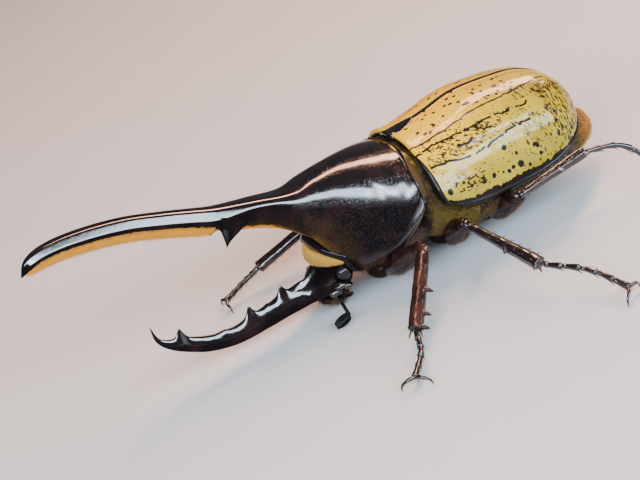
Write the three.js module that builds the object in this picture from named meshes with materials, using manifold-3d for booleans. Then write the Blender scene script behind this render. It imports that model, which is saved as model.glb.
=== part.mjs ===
// A male rhinoceros beetle at life size, standing still on all six feet.
// Millimetres. The body is drawn with +X to the beetle's left, +Y to its rear and +Z up, its origin
// between the front edges of the wing cases, level with their side margin. The whole body then
// tilts nose up into its stance, and the legs reach down from it to the floor at Z = 0.
import * as THREE from 'three';
import { LoftGeometry } from 'three/addons/geometries/LoftGeometry.js';
import { mergeVertices } from 'three/addons/utils/BufferGeometryUtils.js';
import Module from 'manifold-3d';

const wasm = await Module();
wasm.setup();
const { clamp, degToRad, lerp } = THREE.MathUtils;

// ---- Driving dimensions -------------------------------------------------------------------

const GAP = 0.3; // clearance between neighbouring plates
const PITCH = 3.5; // degrees that the body stands nose up
const MARGIN_HEIGHT = 16; // from the floor up to the body's origin

const ELYTRA = {
  length: 50,
  halfWidthAtBase: 17.7,
  halfWidth: 20.1,
  domeAtBase: 16.7,
  dome: 22.9,
  marginRiseAtBase: 3.2,
  marginRiseAtApex: 8,
  shell: 1.1,
};
const SCUTELLUM = { length: 7.6, halfWidth: 5.2, thickness: 1.6 };
const TRUNK = { neck: -2.6, waist: 3.6, split: 21, tip: 55.4, inset: ELYTRA.shell + GAP };
const EYE = { radius: 1.9, centre: [7.7, -25.3, -5.6] };
const CLAW = { forward: 0.5, spread: 3.8, root: 0.5, tip: 0.26 };

// ---- Finishes -----------------------------------------------------------------------------

const finish = (color, roughness, metalness = 0) =>
  new THREE.MeshStandardMaterial({ color, roughness, metalness });
const FINISH = {
  blackShell: finish(0x0c0807, 0.22),
  brownShell: finish(0x2b120c, 0.35),
  wingCase: finish(0xa89a35, 0.24),
  velvet: finish(0xc67a1c, 0.9),
  brush: finish(0xb98a2a, 0.9),
  flank: finish(0x6d5a22, 0.8),
  eye: finish(0x120e16, 0.12),
};

// ---- Shape tools --------------------------------------------------------------------------

const point = (x, y, z) => new THREE.Vector3(x, y, z);

// The value at a place on the smooth curve through [place, value] stations.
function through(stations, place) {
  const last = stations.length - 1;
  const found = stations.findIndex(([at]) => at >= place);
  const i = clamp(found < 0 ? last : found, 1, last);
  const slope = (k) => {
    const [before, after] = [stations[Math.max(k - 1, 0)], stations[Math.min(k + 1, last)]];
    return (after[1] - before[1]) / (after[0] - before[0]);
  };
  const [start, from] = stations[i - 1];
  const [end, to] = stations[i];
  const t = clamp((place - start) / (end - start), 0, 1);
  const bend = (end - start) * t * (1 - t) * ((1 - t) * slope(i - 1) - t * slope(i));
  return from + (to - from) * t * t * (3 - 2 * t) + bend;
}

// Raises a sine or cosine to a power and keeps its sign: powers below one square a round form.
const squared = (value, power) => Math.sign(value) * Math.abs(value) ** power;

// A closed geometry as a solid that can be joined and cut.
function solidOf(geometry) {
  const bare = new THREE.BufferGeometry();
  bare.setAttribute('position', geometry.getAttribute('position'));
  bare.setIndex(geometry.getIndex());
  const merged = mergeVertices(bare, 1e-4);
  return new wasm.Manifold(
    new wasm.Mesh({
      numProp: 3,
      vertProperties: merged.attributes.position.array,
      triVerts: new Uint32Array(merged.index.array),
    }),
  );
}

// A solid through closed rings of points, capped at both ends. Each ring has to turn
// anticlockwise as the next ring sees it, so rings that turn the other way are reversed.
function loft(rings) {
  const centre = (ring) =>
    ring.reduce((sum, corner) => sum.add(corner), point(0, 0, 0)).divideScalar(ring.length);
  const turn = rings[0].reduce(
    (sum, corner, k, ring) => sum.add(corner.clone().cross(ring[(k + 1) % ring.length])),
    point(0, 0, 0),
  );
  const onward = centre(rings[1]).sub(centre(rings[0]));
  const wound = turn.dot(onward) > 0 ? rings : rings.map((ring) => ring.toReversed());
  return solidOf(new LoftGeometry(wound, { closed: true, capStart: true, capEnd: true }));
}

const inSteps = (count, make) => Array.from({ length: count + 1 }, (_, i) => make(i / count));

// A rounded bar along a curve. girth(t) gives its half width along `across` and its half depth.
function sweep(curve, { steps, sides, girth, across }) {
  const rings = inSteps(steps, (t) => {
    const centre = curve.getPoint(t);
    const along = curve.getTangent(t);
    const side = across.clone().addScaledVector(along, -across.dot(along)).normalize();
    const up = side.clone().cross(along);
    const [halfWidth, halfDepth] = girth(t);
    return Array.from({ length: sides }, (_, k) => {
      const angle = (2 * Math.PI * (k + 0.5)) / sides;
      return centre
        .clone()
        .addScaledVector(side, halfWidth * Math.cos(angle))
        .addScaledVector(up, halfDepth * Math.sin(angle));
    });
  });
  return loft(rings);
}

const smoothCurve = (points) => new THREE.CatmullRomCurve3(points, false, 'centripetal');

// An egg-shaped solid.
function egg(centre, [rx, ry, rz], segments = 12) {
  const ball = new THREE.SphereGeometry(1, segments, Math.round(segments * 0.6));
  return solidOf(ball.scale(rx, ry, rz).translate(...centre));
}

// A pointed tooth from its root to its tip.
function tooth(root, tip, radius, sides = 6) {
  const axis = tip.clone().sub(root);
  const cone = new THREE.ConeGeometry(radius, axis.length(), sides);
  cone.translate(0, axis.length() / 2, 0);
  cone.applyQuaternion(
    new THREE.Quaternion().setFromUnitVectors(point(0, 1, 0), axis.normalize()),
  );
  return solidOf(cone.translate(root.x, root.y, root.z));
}

const joined = (first, ...others) => others.reduce((sum, next) => sum.add(next), first);
const cut = (solid, ...tools) => tools.reduce((rest, tool) => rest.subtract(tool), solid);

// A named mesh of a finished solid.
function piece(name, solid, material) {
  const { vertProperties, triVerts } = solid.getMesh();
  const geometry = new THREE.BufferGeometry();
  geometry.setAttribute('position', new THREE.BufferAttribute(vertProperties, 3));
  geometry.setIndex(new THREE.BufferAttribute(triVerts, 1));
  geometry.computeVertexNormals();
  const mesh = new THREE.Mesh(geometry, material);
  mesh.name = name;
  return mesh;
}

// ---- Wing cases ---------------------------------------------------------------------------

// Half width, height of the dome and level of the margin at a share u of the length.
function elytraSize(u) {
  const { halfWidthAtBase, halfWidth, domeAtBase, dome } = ELYTRA;
  const swell = Math.sin((clamp(u / 0.6, 0, 1) * Math.PI) / 2);
  const crest = Math.sin((clamp(u / 0.45, 0, 1) * Math.PI) / 2);
  const taper = Math.sqrt(1 - clamp((u - 0.6) / 0.4, 0, 1) ** 2.6);
  const descent = (1 - clamp((u - 0.45) / 0.55, 0, 1) ** 2.12) ** 0.55;
  return {
    half: lerp(halfWidthAtBase, halfWidth, swell) * taper,
    dome: lerp(domeAtBase, dome, crest) * descent,
    margin:
      ELYTRA.marginRiseAtBase * (1 - clamp(u / 0.3, 0, 1)) ** 2 +
      ELYTRA.marginRiseAtApex * clamp((u - 0.5) / 0.5, 0, 1) ** 2,
  };
}

// A point of the dome: v runs from 0 on the suture to 1 on the side margin.
function domePoint(u, v, side, inset) {
  const { half, dome, margin } = elytraSize(u);
  const angle = (v * Math.PI) / 2;
  return point(
    side * (Math.max(half - inset, 0.2) * Math.sin(angle) ** 0.86 + GAP / 2),
    u * ELYTRA.length,
    margin + Math.max(dome - inset, 0.2) * Math.max(Math.cos(angle), 0) ** 0.88,
  );
}

function elytron(side, grow = 0) {
  const lastRing = 0.996;
  const across = 8;
  const rings = inSteps(14, (t) => {
    const u = lastRing * Math.sin((t * Math.PI) / 2);
    const outer = inSteps(across, (v) => domePoint(u, v, side, -grow));
    const inner = inSteps(across, (v) => domePoint(u, 1 - v, side, ELYTRA.shell + grow));
    return [...outer, ...inner];
  });
  return loft(rings);
}

function scutellum(grow = 0) {
  const { length, halfWidth, thickness } = SCUTELLUM;
  const rings = inSteps(4, (t) => {
    const y = lerp(-0.4, length, t);
    const half = (halfWidth + grow) * Math.sqrt(1 - t ** 1.4) + grow + 0.2;
    const level = domePoint(clamp(y / ELYTRA.length, 0, 1), 0, 1, 0).z + 0.25;
    return [
      point(-half, y, level - 0.9),
      point(0, y, level + grow),
      point(half, y, level - 0.9),
      point(half * 0.8, y, level - thickness - grow),
      point(-half * 0.8, y, level - thickness - grow),
    ];
  });
  return loft(rings);
}

// ---- Prothorax ----------------------------------------------------------------------------

// Stations of the shield from its rear rim to the root of its horn: the ridge (y, z), the side
// edge (x, y, z) and the middle of its underside (y, z).
const SHIELD = [
  { at: 0, ridge: [-0.8, 17.9], edge: [17.9, -3.9, 7.0], keel: [-3.9, 6.6] },
  { at: 0.13, ridge: [-4, 18.9], edge: [18.4, -5, 4.4], keel: [-5, 3] },
  { at: 0.3, ridge: [-9, 19.7], edge: [17.5, -7.8, 1.0], keel: [-8, 0] },
  { at: 0.48, ridge: [-15, 20.1], edge: [15.1, -12, -2.9], keel: [-12, -3] },
  { at: 0.66, ridge: [-21, 19.8], edge: [12.2, -17, -4.2], keel: [-17, -3.5] },
  { at: 0.8, ridge: [-25, 19.2], edge: [9.4, -21.8, -5.3], keel: [-21.5, -2] },
  { at: 0.89, ridge: [-27.3, 18.8], edge: [8.7, -25.8, -1.2], keel: [-26, 1] },
  { at: 0.95, ridge: [-28.8, 18.6], edge: [6.8, -30, 2.2], keel: [-29, 4.4] },
  { at: 1, ridge: [-29.8, 18.4], edge: [5.8, -31.8, 13.4], keel: [-33.8, 8.5] },
];
const HORN_ROOT = { y: -31.8, z: 13.4, halfWidth: 5.8, halfDepth: 5.3 };

const shieldValue = (key, index, at) =>
  through(SHIELD.map((station) => [station.at, station[key][index]]), at);

function shield(grow = 0) {
  const sides = 24;
  const rings = inSteps(13, (t) => {
    const value = (key, index) => shieldValue(key, index, t);
    const edge = { x: value('edge', 0), y: value('edge', 1), z: value('edge', 2) };
    return Array.from({ length: sides }, (_, k) => {
      const angle = (2 * Math.PI * k) / sides;
      const key = Math.cos(angle) > 0 ? 'ridge' : 'keel';
      const rise = Math.abs(Math.cos(angle)) ** 0.95;
      const outward = Math.cos(angle) > 0 ? grow : -grow;
      return point(
        (edge.x + grow) * squared(Math.sin(angle), 0.92),
        lerp(edge.y, value(key, 0), rise) + (t === 0 ? grow : 0),
        lerp(edge.z, value(key, 1) + outward, rise),
      );
    });
  });
  return loft(rings);
}

function prosternum(grow = 0) {
  const rings = inSteps(5, (t) => {
    const y = lerp(-4.6, -21.2, t) + (t - 0.5) * -2 * grow;
    const half = through([[0, 13.5], [0.35, 14.2], [0.7, 10.5], [1, 7]], t) + grow;
    const bottom = through([[0, -6.5], [0.35, -9.4], [0.75, -9.4], [1, -8]], t) - grow;
    return Array.from({ length: 14 }, (_, k) => {
      const angle = (2 * Math.PI * k) / 14;
      return point(half * Math.sin(angle), y, lerp(bottom, 3, (1 + Math.cos(angle)) / 2));
    });
  });
  return loft(rings);
}

const hornLine = smoothCurve([
  point(0, HORN_ROOT.y - GAP, HORN_ROOT.z),
  point(0, -38, 15.8),
  point(0, -44, 17.5),
  point(0, -50, 19.4),
  point(0, -56, 21.9),
  point(0, -63, 24.5),
  point(0, -71, 27.1),
  point(0, -80, 28.9),
  point(0, -88, 29.6),
  point(0, -93.6, 28.8),
  point(0, -97.1, 26.2),
]);
const HORN_HALF_WIDTH = [
  [0, HORN_ROOT.halfWidth],
  [0.1, 4.6],
  [0.27, 3.7],
  [0.5, 3],
  [0.8, 2.4],
  [0.93, 1.6],
  [1, 0.2],
];
const HORN_HALF_DEPTH = [
  [0, HORN_ROOT.halfDepth],
  [0.1, 4.4],
  [0.27, 3.4],
  [0.4, 2.6],
  [0.8, 2],
  [0.93, 1.4],
  [1, 0.2],
];
const hornSide = (side, grow = 0) =>
  tooth(point(side * 2.2, -47, 16.4), point(side * 4.4, -50.4, 12.2), 2.3 + grow);

function thoracicHorn() {
  const shaft = sweep(hornLine, {
    steps: 20,
    sides: 12,
    across: point(1, 0, 0),
    girth: (t) => [through(HORN_HALF_WIDTH, t), through(HORN_HALF_DEPTH, t)],
  });
  return joined(shaft, hornSide(-1), hornSide(1));
}

// The pile under the horn, as deep as its hairs are long. Its upper side follows the horn's.
function hornVelvet() {
  const pile = [[0, 0.6], [0.25, 0.8], [0.34, 2.1], [0.8, 2.2], [0.93, 1.5], [1, 0.6]];
  const [start, end] = [0.06, 0.955];
  const shares = [-0.72, -0.4, 0, 0.4, 0.72];
  const rings = inSteps(13, (t) => {
    const s = lerp(start, end, t);
    const down = hornLine.getTangent(s).cross(point(-1, 0, 0)).normalize();
    const at = (share, reach) =>
      hornLine
        .getPoint(s)
        .addScaledVector(down, reach)
        .add(point(share * through(HORN_HALF_WIDTH, s), 0, 0));
    const shell = (share) => through(HORN_HALF_DEPTH, s) * Math.sqrt(1 - share ** 2) + GAP;
    const hairs = (share) => through(pile, s) * (1.05 - share ** 2);
    return [
      ...shares.map((share) => at(share, shell(share))),
      ...shares.toReversed().map((share) => at(share, shell(share) + hairs(share))),
    ];
  });
  return cut(loft(rings), hornSide(-1, GAP), hornSide(1, GAP));
}

// ---- Head ---------------------------------------------------------------------------------

function headCapsule(grow = 0) {
  const rings = inSteps(6, (t) => {
    const y = lerp(-21.4, -34, t) + (0.5 - t) * 2 * grow;
    const half = through([[0, 4.4], [0.2, 6.9], [0.45, 7.2], [0.7, 5.8], [1, 3.6]], t) + grow;
    const top = through([[0, -4.5], [0.3, -3.2], [0.6, -3.4], [1, -5.4]], t) + grow;
    const bottom = through([[0, -10], [0.3, -12], [0.7, -12.6], [1, -12.4]], t) - grow;
    return Array.from({ length: 12 }, (_, k) => {
      const angle = (2 * Math.PI * k) / 12;
      return point(
        half * squared(Math.sin(angle), 0.8),
        y,
        lerp(bottom, top, (1 + squared(Math.cos(angle), 0.8)) / 2),
      );
    });
  });
  return loft(rings);
}

const headHornLine = smoothCurve([
  point(0, -29.5, -8.2),
  point(0, -36, -9.8),
  point(0, -42, -10.5),
  point(0, -48, -11.1),
  point(0, -54, -11.4),
  point(0, -60, -10.5),
  point(0, -65.5, -8.4),
  point(0, -70, -5.9),
  point(0, -72.9, -2.9),
  point(0, -73.6, 0.7),
]);

// Teeth along the upper edge: [y of the root, z of the root, y of the tip, z of the tip, radius].
const HEAD_HORN_TEETH = [
  [-40.2, -7.8, -39.6, -4.3, 1.2],
  [-44.2, -8.4, -44.4, -6.7, 1.1],
  [-49.2, -8.8, -48.8, -5.3, 1.1],
  [-56.6, -10, -57.2, -7.9, 1.1],
  [-67.2, -6.4, -67.0, -2.6, 1.0],
];

function cephalicHorn(grow = 0) {
  const halfWidth = [[0, 5.2], [0.15, 3.6], [0.4, 2.5], [0.7, 2.1], [0.85, 1.6], [0.95, 0.8], [1, 0.2]];
  const halfDepth = [[0, 4.6], [0.15, 3.6], [0.4, 2.8], [0.6, 2.15], [0.8, 1.7], [0.93, 0.9], [1, 0.2]];
  const shaft = sweep(headHornLine, {
    steps: 18,
    sides: 8,
    across: point(1, 0, 0),
    girth: (t) => [through(halfWidth, t) + grow, through(halfDepth, t) + grow],
  });
  const teeth = HEAD_HORN_TEETH.map(([rootY, rootZ, tipY, tipZ, radius]) =>
    tooth(point(0, rootY, rootZ), point(0, tipY, tipZ), radius, 5),
  );
  return joined(shaft, ...teeth);
}

const eye = (side, grow = 0) => {
  const [x, y, z] = EYE.centre;
  const r = EYE.radius + grow;
  return egg([side * x, y, z], [r * 0.8, r, r], 10);
};

// A fringe that grows from the front rim of the shield round the top of the head.
function neckBrush() {
  const arc = smoothCurve(
    [-1, -0.75, -0.4, 0, 0.4, 0.75, 1].map((share) => {
      const angle = (share * Math.PI) / 2;
      const height = Math.cos(angle);
      return point(7.9 * Math.sin(angle), lerp(-23.8, -30, height), lerp(-5, -0.6, height));
    }),
  );
  return sweep(arc, {
    steps: 10,
    sides: 6,
    across: point(0, 1, 0),
    girth: (t) => [1 + 1.4 * Math.sin(t * Math.PI), 0.9 + 0.9 * Math.sin(t * Math.PI)],
  });
}

// An elbowed feeler: a scape, a short stalk and a club of three leaves.
function antenna(side) {
  const line = smoothCurve([
    point(side * 6.6, -27.6, -11),
    point(side * 8.6, -28.2, -12.6),
    point(side * 11.4, -28.8, -14.7),
    point(side * 12.2, -29.8, -15.2),
  ]);
  const stalk = sweep(line, {
    steps: 6,
    sides: 5,
    across: point(0, 1, 0),
    girth: (t) => Array(2).fill(0.5 + 0.25 * Math.abs(Math.sin(t * Math.PI * 3))),
  });
  const clubLine = new THREE.LineCurve3(
    point(side * 12.2, -29.4, -15),
    point(side * 12, -33.4, -15.9),
  );
  const club = sweep(clubLine, {
    steps: 5,
    sides: 7,
    across: point(1, 0, 0),
    girth: (t) => {
      const swell = Math.sin(Math.PI * clamp(0.12 + 0.8 * t, 0, 1));
      return [0.3 + 0.75 * swell, 0.25 + 0.95 * swell];
    },
  });
  return stalk.add(club);
}

// The mouth's underlip with a short palp at each side.
function mouthparts() {
  const lip = egg([0, -26.5, -12.4], [4.4, 3.4, 1.7], 8);
  const palps = [-1, 1].map((side) =>
    sweep(
      smoothCurve([
        point(side * 3.6, -25.6, -12.2),
        point(side * 6, -24.4, -13.2),
        point(side * 7.4, -23.4, -12.2),
      ]),
      { steps: 3, sides: 5, across: point(0, 1, 0), girth: () => [0.5, 0.5] },
    ),
  );
  return joined(lip, ...palps);
}

// ---- Trunk --------------------------------------------------------------------------------

// A ring of the trunk at y, widest at `level`, with the tops and undersides of an egg.
function trunkRing(y, { half, level, top, belly }) {
  const sides = 18;
  return Array.from({ length: sides }, (_, k) => {
    const angle = (2 * Math.PI * k) / sides;
    const rise = Math.abs(Math.cos(angle)) ** 0.88;
    const end = Math.cos(angle) > 0 ? top : belly;
    return point(half * squared(Math.sin(angle), 0.86), y, lerp(level, end, rise));
  });
}

const BELLY_LINE = [
  [-3, -6.5],
  [5, -9.2],
  [15, -9.2],
  [25, -8.4],
  [36, -7.4],
  [46, -5.6],
  [51, -4],
  [TRUNK.tip, -0.6],
];

// The thorax fills the wing cases up to their inner faces.
function thorax(from, to, steps) {
  return loft(
    inSteps(steps, (t) => {
      const y = lerp(from, to, t);
      const { half, dome, margin } = elytraSize(clamp(y / ELYTRA.length, 0, 1));
      return trunkRing(y, {
        half: half - TRUNK.inset,
        level: margin - 1,
        top: margin + dome - TRUNK.inset - GAP,
        belly: through(BELLY_LINE, y),
      });
    }),
  );
}

// The abdomen lies under the wing cases and bulges out behind them.
function abdomen() {
  const { split, tip } = TRUNK;
  const halfWidth = [[split, 18.5], [30, 18.1], [40, 15.8], [46, 12.3], [50, 9.6], [53, 6.4], [tip, 1.6]];
  const top = [[split, 18], [32, 17], [40, 14], [46, 9], [50, 5.2], [53, 4], [tip, 1.4]];
  const level = [[split, -0.9], [30, -0.4], [46, 0.6], [tip, 0.2]];
  return loft(
    inSteps(9, (t) => {
      const y = lerp(split + GAP, tip, Math.sin((t * Math.PI) / 2));
      return trunkRing(y, {
        half: through(halfWidth, y),
        level: through(level, y),
        top: through(top, y),
        belly: through(BELLY_LINE, y),
      });
    }),
  );
}

// ---- Legs ---------------------------------------------------------------------------------

// Places of each leg: hip, knee and ankle in the body's own frame, then the middle of the foot
// and its wrist, from which the claws reach down, over the floor.
const LEGS = [
  {
    name: 'fore_left',
    hip: [8, -15, -10],
    knee: [24, -10, -1],
    ankle: [37.4, -23.8, -12.6],
    instep: [45.8, -28.4, 4.3],
    wrist: [51.2, -33.9, 2.8],
  },
  {
    name: 'fore_right',
    hip: [-8, -15, -10],
    knee: [-25.5, -13.4, -3.4],
    ankle: [-30, -34, -11.5],
    instep: [-30.6, -40.2, 4.6],
    wrist: [-30, -46.2, 2.8],
  },
  {
    name: 'mid_left',
    hip: [8, 4, -9.5],
    knee: [26, 1.4, 0.4],
    ankle: [48.4, 6.3, -6.4],
    instep: [57.8, 12, 7.2],
    wrist: [66.1, 15.9, 3],
  },
  {
    name: 'mid_right',
    hip: [-8, 4, -9.5],
    knee: [-25, 2.5, -0.2],
    ankle: [-45.5, 12, -7],
    instep: [-54, 17.8, 6.2],
    wrist: [-61, 22.4, 3],
  },
  {
    name: 'hind_left',
    hip: [8.5, 17, -8.6],
    knee: [24.3, 18.2, -0.2],
    ankle: [24.4, 38.6, 2.6],
    instep: [26.8, 48.6, 13.2],
    wrist: [30.5, 56.4, 3],
  },
  {
    name: 'hind_right',
    hip: [-8.5, 17, -8.6],
    knee: [-24, 20, -1],
    ankle: [-32.5, 40, -3],
    instep: [-36.6, 49, 8.2],
    wrist: [-41, 56.6, 3],
  },
];

const stance = new THREE.Matrix4()
  .makeRotationX(degToRad(-PITCH))
  .setPosition(0, 0, MARGIN_HEIGHT);
const standing = (place) => point(...place).applyMatrix4(stance);

const sideways = (from, to) => to.clone().sub(from).cross(point(0, 0, 1)).normalize();

const coxa = (leg, grow = 0) => {
  const side = Math.sign(leg.hip[0]);
  const [x, y, z] = standing(leg.hip).toArray();
  return egg([x - side * 2, y, z + 0.8], [4.4 + grow, 3.4 + grow, 2.9 + grow], 8);
};

function femur(leg, grow = 0) {
  const [hip, knee] = [standing(leg.hip), standing(leg.knee)];
  const thick = [[0, 1.5], [0.2, 2.4], [0.45, 3], [0.75, 2.3], [1, 1.5]];
  return sweep(new THREE.LineCurve3(hip, knee), {
    steps: 5,
    sides: 8,
    across: sideways(hip, knee),
    girth: (t) => [through(thick, t) * 0.8 + grow, through(thick, t) + grow],
  });
}

// The shin widens to the ankle. Fore shins are broad with three outer teeth, the others rounder
// with two spurs.
function tibia(leg, grow = 0) {
  const [knee, ankle] = [standing(leg.knee), standing(leg.ankle)];
  const across = sideways(knee, ankle);
  const along = ankle.clone().sub(knee);
  const fore = leg.name.startsWith('fore');
  const thick = fore ? [[0, 1.6], [0.15, 1.6], [1, 2]] : [[0, 1.3], [0.15, 1.2], [0.9, 1.85], [1, 1.7]];
  const flatness = fore ? 0.72 : 0.88;
  const shaft = sweep(new THREE.LineCurve3(knee, ankle), {
    steps: 4,
    sides: 8,
    across,
    girth: (t) => [through(thick, t) + grow, through(thick, t) * flatness + grow],
  });
  const outward = across.clone().multiplyScalar(fore ? -Math.sign(leg.hip[0]) : 1);
  const spurs = (fore ? [0.52, 0.8, 0.96] : [0.58, 0.96]).map((place) => {
    const root = knee.clone().addScaledVector(along, place);
    const tip = root.clone().addScaledVector(outward, fore ? 4 : 2.7);
    tip.addScaledVector(along.clone().normalize(), 1);
    return tooth(root, tip, 1, 5);
  });
  return joined(shaft, ...spurs);
}

// Five joints of the foot and two spread claws, trimmed flat where they stand on the floor.
function tarsus(leg) {
  const ankle = standing(leg.ankle);
  const [instep, wrist] = [point(...leg.instep), point(...leg.wrist)];
  const joints = 5;
  const start = ankle.clone().addScaledVector(instep.clone().sub(ankle).normalize(), 0.6);
  const across = sideways(ankle, wrist);
  const chain = sweep(smoothCurve([start, instep, wrist]), {
    steps: 2 * joints,
    sides: 5,
    across,
    girth: (t) => Array(2).fill(0.5 + 0.45 * Math.abs(Math.sin(t * Math.PI * joints))),
  });
  const heading = wrist.clone().sub(instep).setZ(0).normalize();
  const claws = [-1, 1].map((side) => {
    const reach = (forward, spread, height) =>
      wrist
        .clone()
        .addScaledVector(heading, forward)
        .addScaledVector(across, side * spread)
        .setZ(height);
    const hook = smoothCurve([
      reach(-0.6, 0, wrist.z),
      reach(CLAW.forward, CLAW.spread * 0.55, wrist.z * 0.8),
      reach(CLAW.forward, CLAW.spread, 0.05),
    ]);
    return sweep(hook, {
      steps: 3,
      sides: 4,
      across: heading,
      girth: (t) => Array(2).fill(lerp(CLAW.root, CLAW.tip, t)),
    });
  });
  const ground = solidOf(new THREE.BoxGeometry(300, 300, 10).translate(0, 0, -5));
  return cut(joined(chain, ...claws), ground);
}

// ---- The beetle ---------------------------------------------------------------------------

const onBody = new THREE.Group();
onBody.matrixAutoUpdate = false;
onBody.matrix.copy(stance);
const onFloor = new THREE.Group();

const shieldVoid = shield(GAP);
const headVoid = headCapsule(GAP);
const headHornVoid = cephalicHorn(GAP);
const eyeVoids = [-1, 1].map((side) => eye(side, GAP));
const toBody = stance.clone().invert().toArray();
const legVoids = LEGS.flatMap((leg) => [
  coxa(leg, GAP).transform(toBody),
  femur(leg, GAP).transform(toBody),
]);

const head = cut(headCapsule(), shieldVoid, headHornVoid, ...eyeVoids);
onBody.add(
  piece('scutellum', cut(scutellum(), shieldVoid), FINISH.blackShell),
  piece('pronotum', shield(), FINISH.blackShell),
  piece('thoracic_horn', thoracicHorn(), FINISH.blackShell),
  piece('horn_velvet', hornVelvet(), FINISH.velvet),
  piece('neck_brush', cut(neckBrush(), shieldVoid, headVoid, headHornVoid, ...eyeVoids), FINISH.brush),
  piece('prosternum', cut(prosternum(), shieldVoid, headVoid, ...legVoids), FINISH.brownShell),
  piece('head', head, FINISH.blackShell),
  piece('cephalic_horn', cephalicHorn(), FINISH.blackShell),
  piece('eye_left', eye(1), FINISH.eye),
  piece('eye_right', eye(-1), FINISH.eye),
  piece('antenna_left', cut(antenna(1), headVoid), FINISH.brownShell),
  piece('antenna_right', cut(antenna(-1), headVoid), FINISH.brownShell),
  piece('mouthparts', cut(mouthparts(), headVoid, headHornVoid), FINISH.brownShell),
);

const scutellumVoid = scutellum(GAP);
const elytraVoids = [-1, 1].map((side) => elytron(side, GAP));
onBody.add(
  piece('elytron_left', cut(elytron(1), scutellumVoid), FINISH.wingCase),
  piece('elytron_right', cut(elytron(-1), scutellumVoid), FINISH.wingCase),
  piece(
    'mesothorax',
    cut(
      thorax(TRUNK.neck, TRUNK.waist, 2),
      shieldVoid,
      prosternum(GAP),
      scutellumVoid,
      ...legVoids,
    ),
    FINISH.flank,
  ),
  piece(
    'metathorax',
    cut(thorax(TRUNK.waist + GAP, TRUNK.split, 3), scutellumVoid, ...legVoids),
    FINISH.flank,
  ),
  piece('abdomen', cut(abdomen(), ...elytraVoids, ...legVoids), FINISH.brownShell),
);

const raisedElytraVoids = elytraVoids.map((solid) => solid.transform(stance.toArray()));
for (const leg of LEGS) {
  const femurVoids = [coxa(leg, GAP), tibia(leg, GAP), ...raisedElytraVoids];
  onFloor.add(
    piece(`coxa_${leg.name}`, coxa(leg), FINISH.brownShell),
    piece(`femur_${leg.name}`, cut(femur(leg), ...femurVoids), FINISH.brownShell),
    piece(`tibia_${leg.name}`, tibia(leg), FINISH.blackShell),
    piece(`tarsus_${leg.name}`, cut(tarsus(leg), tibia(leg, GAP)), FINISH.blackShell),
  );
}

// The origin sits under the middle of the whole beetle, on the floor.
const beetle = new THREE.Group();
beetle.add(onBody, onFloor);
beetle.updateMatrixWorld(true);
const middle = new THREE.Box3().setFromObject(beetle, true).getCenter(point(0, 0, 0));
beetle.position.set(-middle.x, -middle.y, 0);

export default beetle;
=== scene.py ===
"""A male rhinoceros beetle at life size, dressed for the studio.

The solids of the frame say where every part is. Each class here is one sub-assembly of the beetle:
its sizes are fields, and its methods work out its surfaces and dress them. Sizes are millimetres in
the beetle's own frame, +X to its left, +Y to its rear and +Z up, with the origin between the front
edges of the wing cases. BodyFrame turns them into the model's frame.

Most surfaces are tubes: functions of t, which runs from 0 to 1 along the part, and a, which runs
from 0 to 1 around it.
"""

import sys
import logging
from dataclasses import dataclass
from enum import Enum
from typing import Callable, Optional, Sequence

import bpy
import numpy as np
from mathutils import Matrix, Vector


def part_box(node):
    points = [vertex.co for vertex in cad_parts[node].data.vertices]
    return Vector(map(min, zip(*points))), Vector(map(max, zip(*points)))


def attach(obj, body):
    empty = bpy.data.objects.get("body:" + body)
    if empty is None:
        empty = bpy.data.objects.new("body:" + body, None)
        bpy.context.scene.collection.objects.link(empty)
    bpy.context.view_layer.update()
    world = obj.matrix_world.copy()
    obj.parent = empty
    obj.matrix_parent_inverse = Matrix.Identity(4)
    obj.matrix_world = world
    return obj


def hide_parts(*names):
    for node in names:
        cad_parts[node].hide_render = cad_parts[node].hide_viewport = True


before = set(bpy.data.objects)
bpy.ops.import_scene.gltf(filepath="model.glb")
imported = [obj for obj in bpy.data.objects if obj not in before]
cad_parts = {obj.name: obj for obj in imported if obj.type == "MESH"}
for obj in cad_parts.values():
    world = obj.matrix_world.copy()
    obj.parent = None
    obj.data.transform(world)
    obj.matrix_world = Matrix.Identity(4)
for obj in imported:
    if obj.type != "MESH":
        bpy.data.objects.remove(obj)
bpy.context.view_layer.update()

MM = 0.001
SENSOR_WIDTH = 36.0

Array = np.ndarray
Tube = Callable[[Array, Array], Array]
Mover = Callable[[Array], Array]
Pair = tuple[float, float]
Point = tuple[float, float, float]
Chance = np.random.Generator
Object = bpy.types.Object
Material = bpy.types.Material
Socket = bpy.types.NodeSocket
Stations = Sequence[Pair]

log = logging.getLogger("beetle")


class Slot(Enum):
    """The record's material slots."""

    BLACK = "black_shell"
    BROWN = "brown_shell"
    WING_CASE = "wing_case"
    VELVET = "horn_velvet"
    BRUSH = "neck_brush"
    FLANK = "flank"
    EYE = "eye"


class Side(Enum):
    """A side of the beetle, with the sign of its X."""

    LEFT = 1
    RIGHT = -1

    @property
    def word(self) -> str:
        """The side's name as the nodes spell it."""
        return self.name.lower()


# ---- Numbers ------------------------------------------------------------------------------


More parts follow.
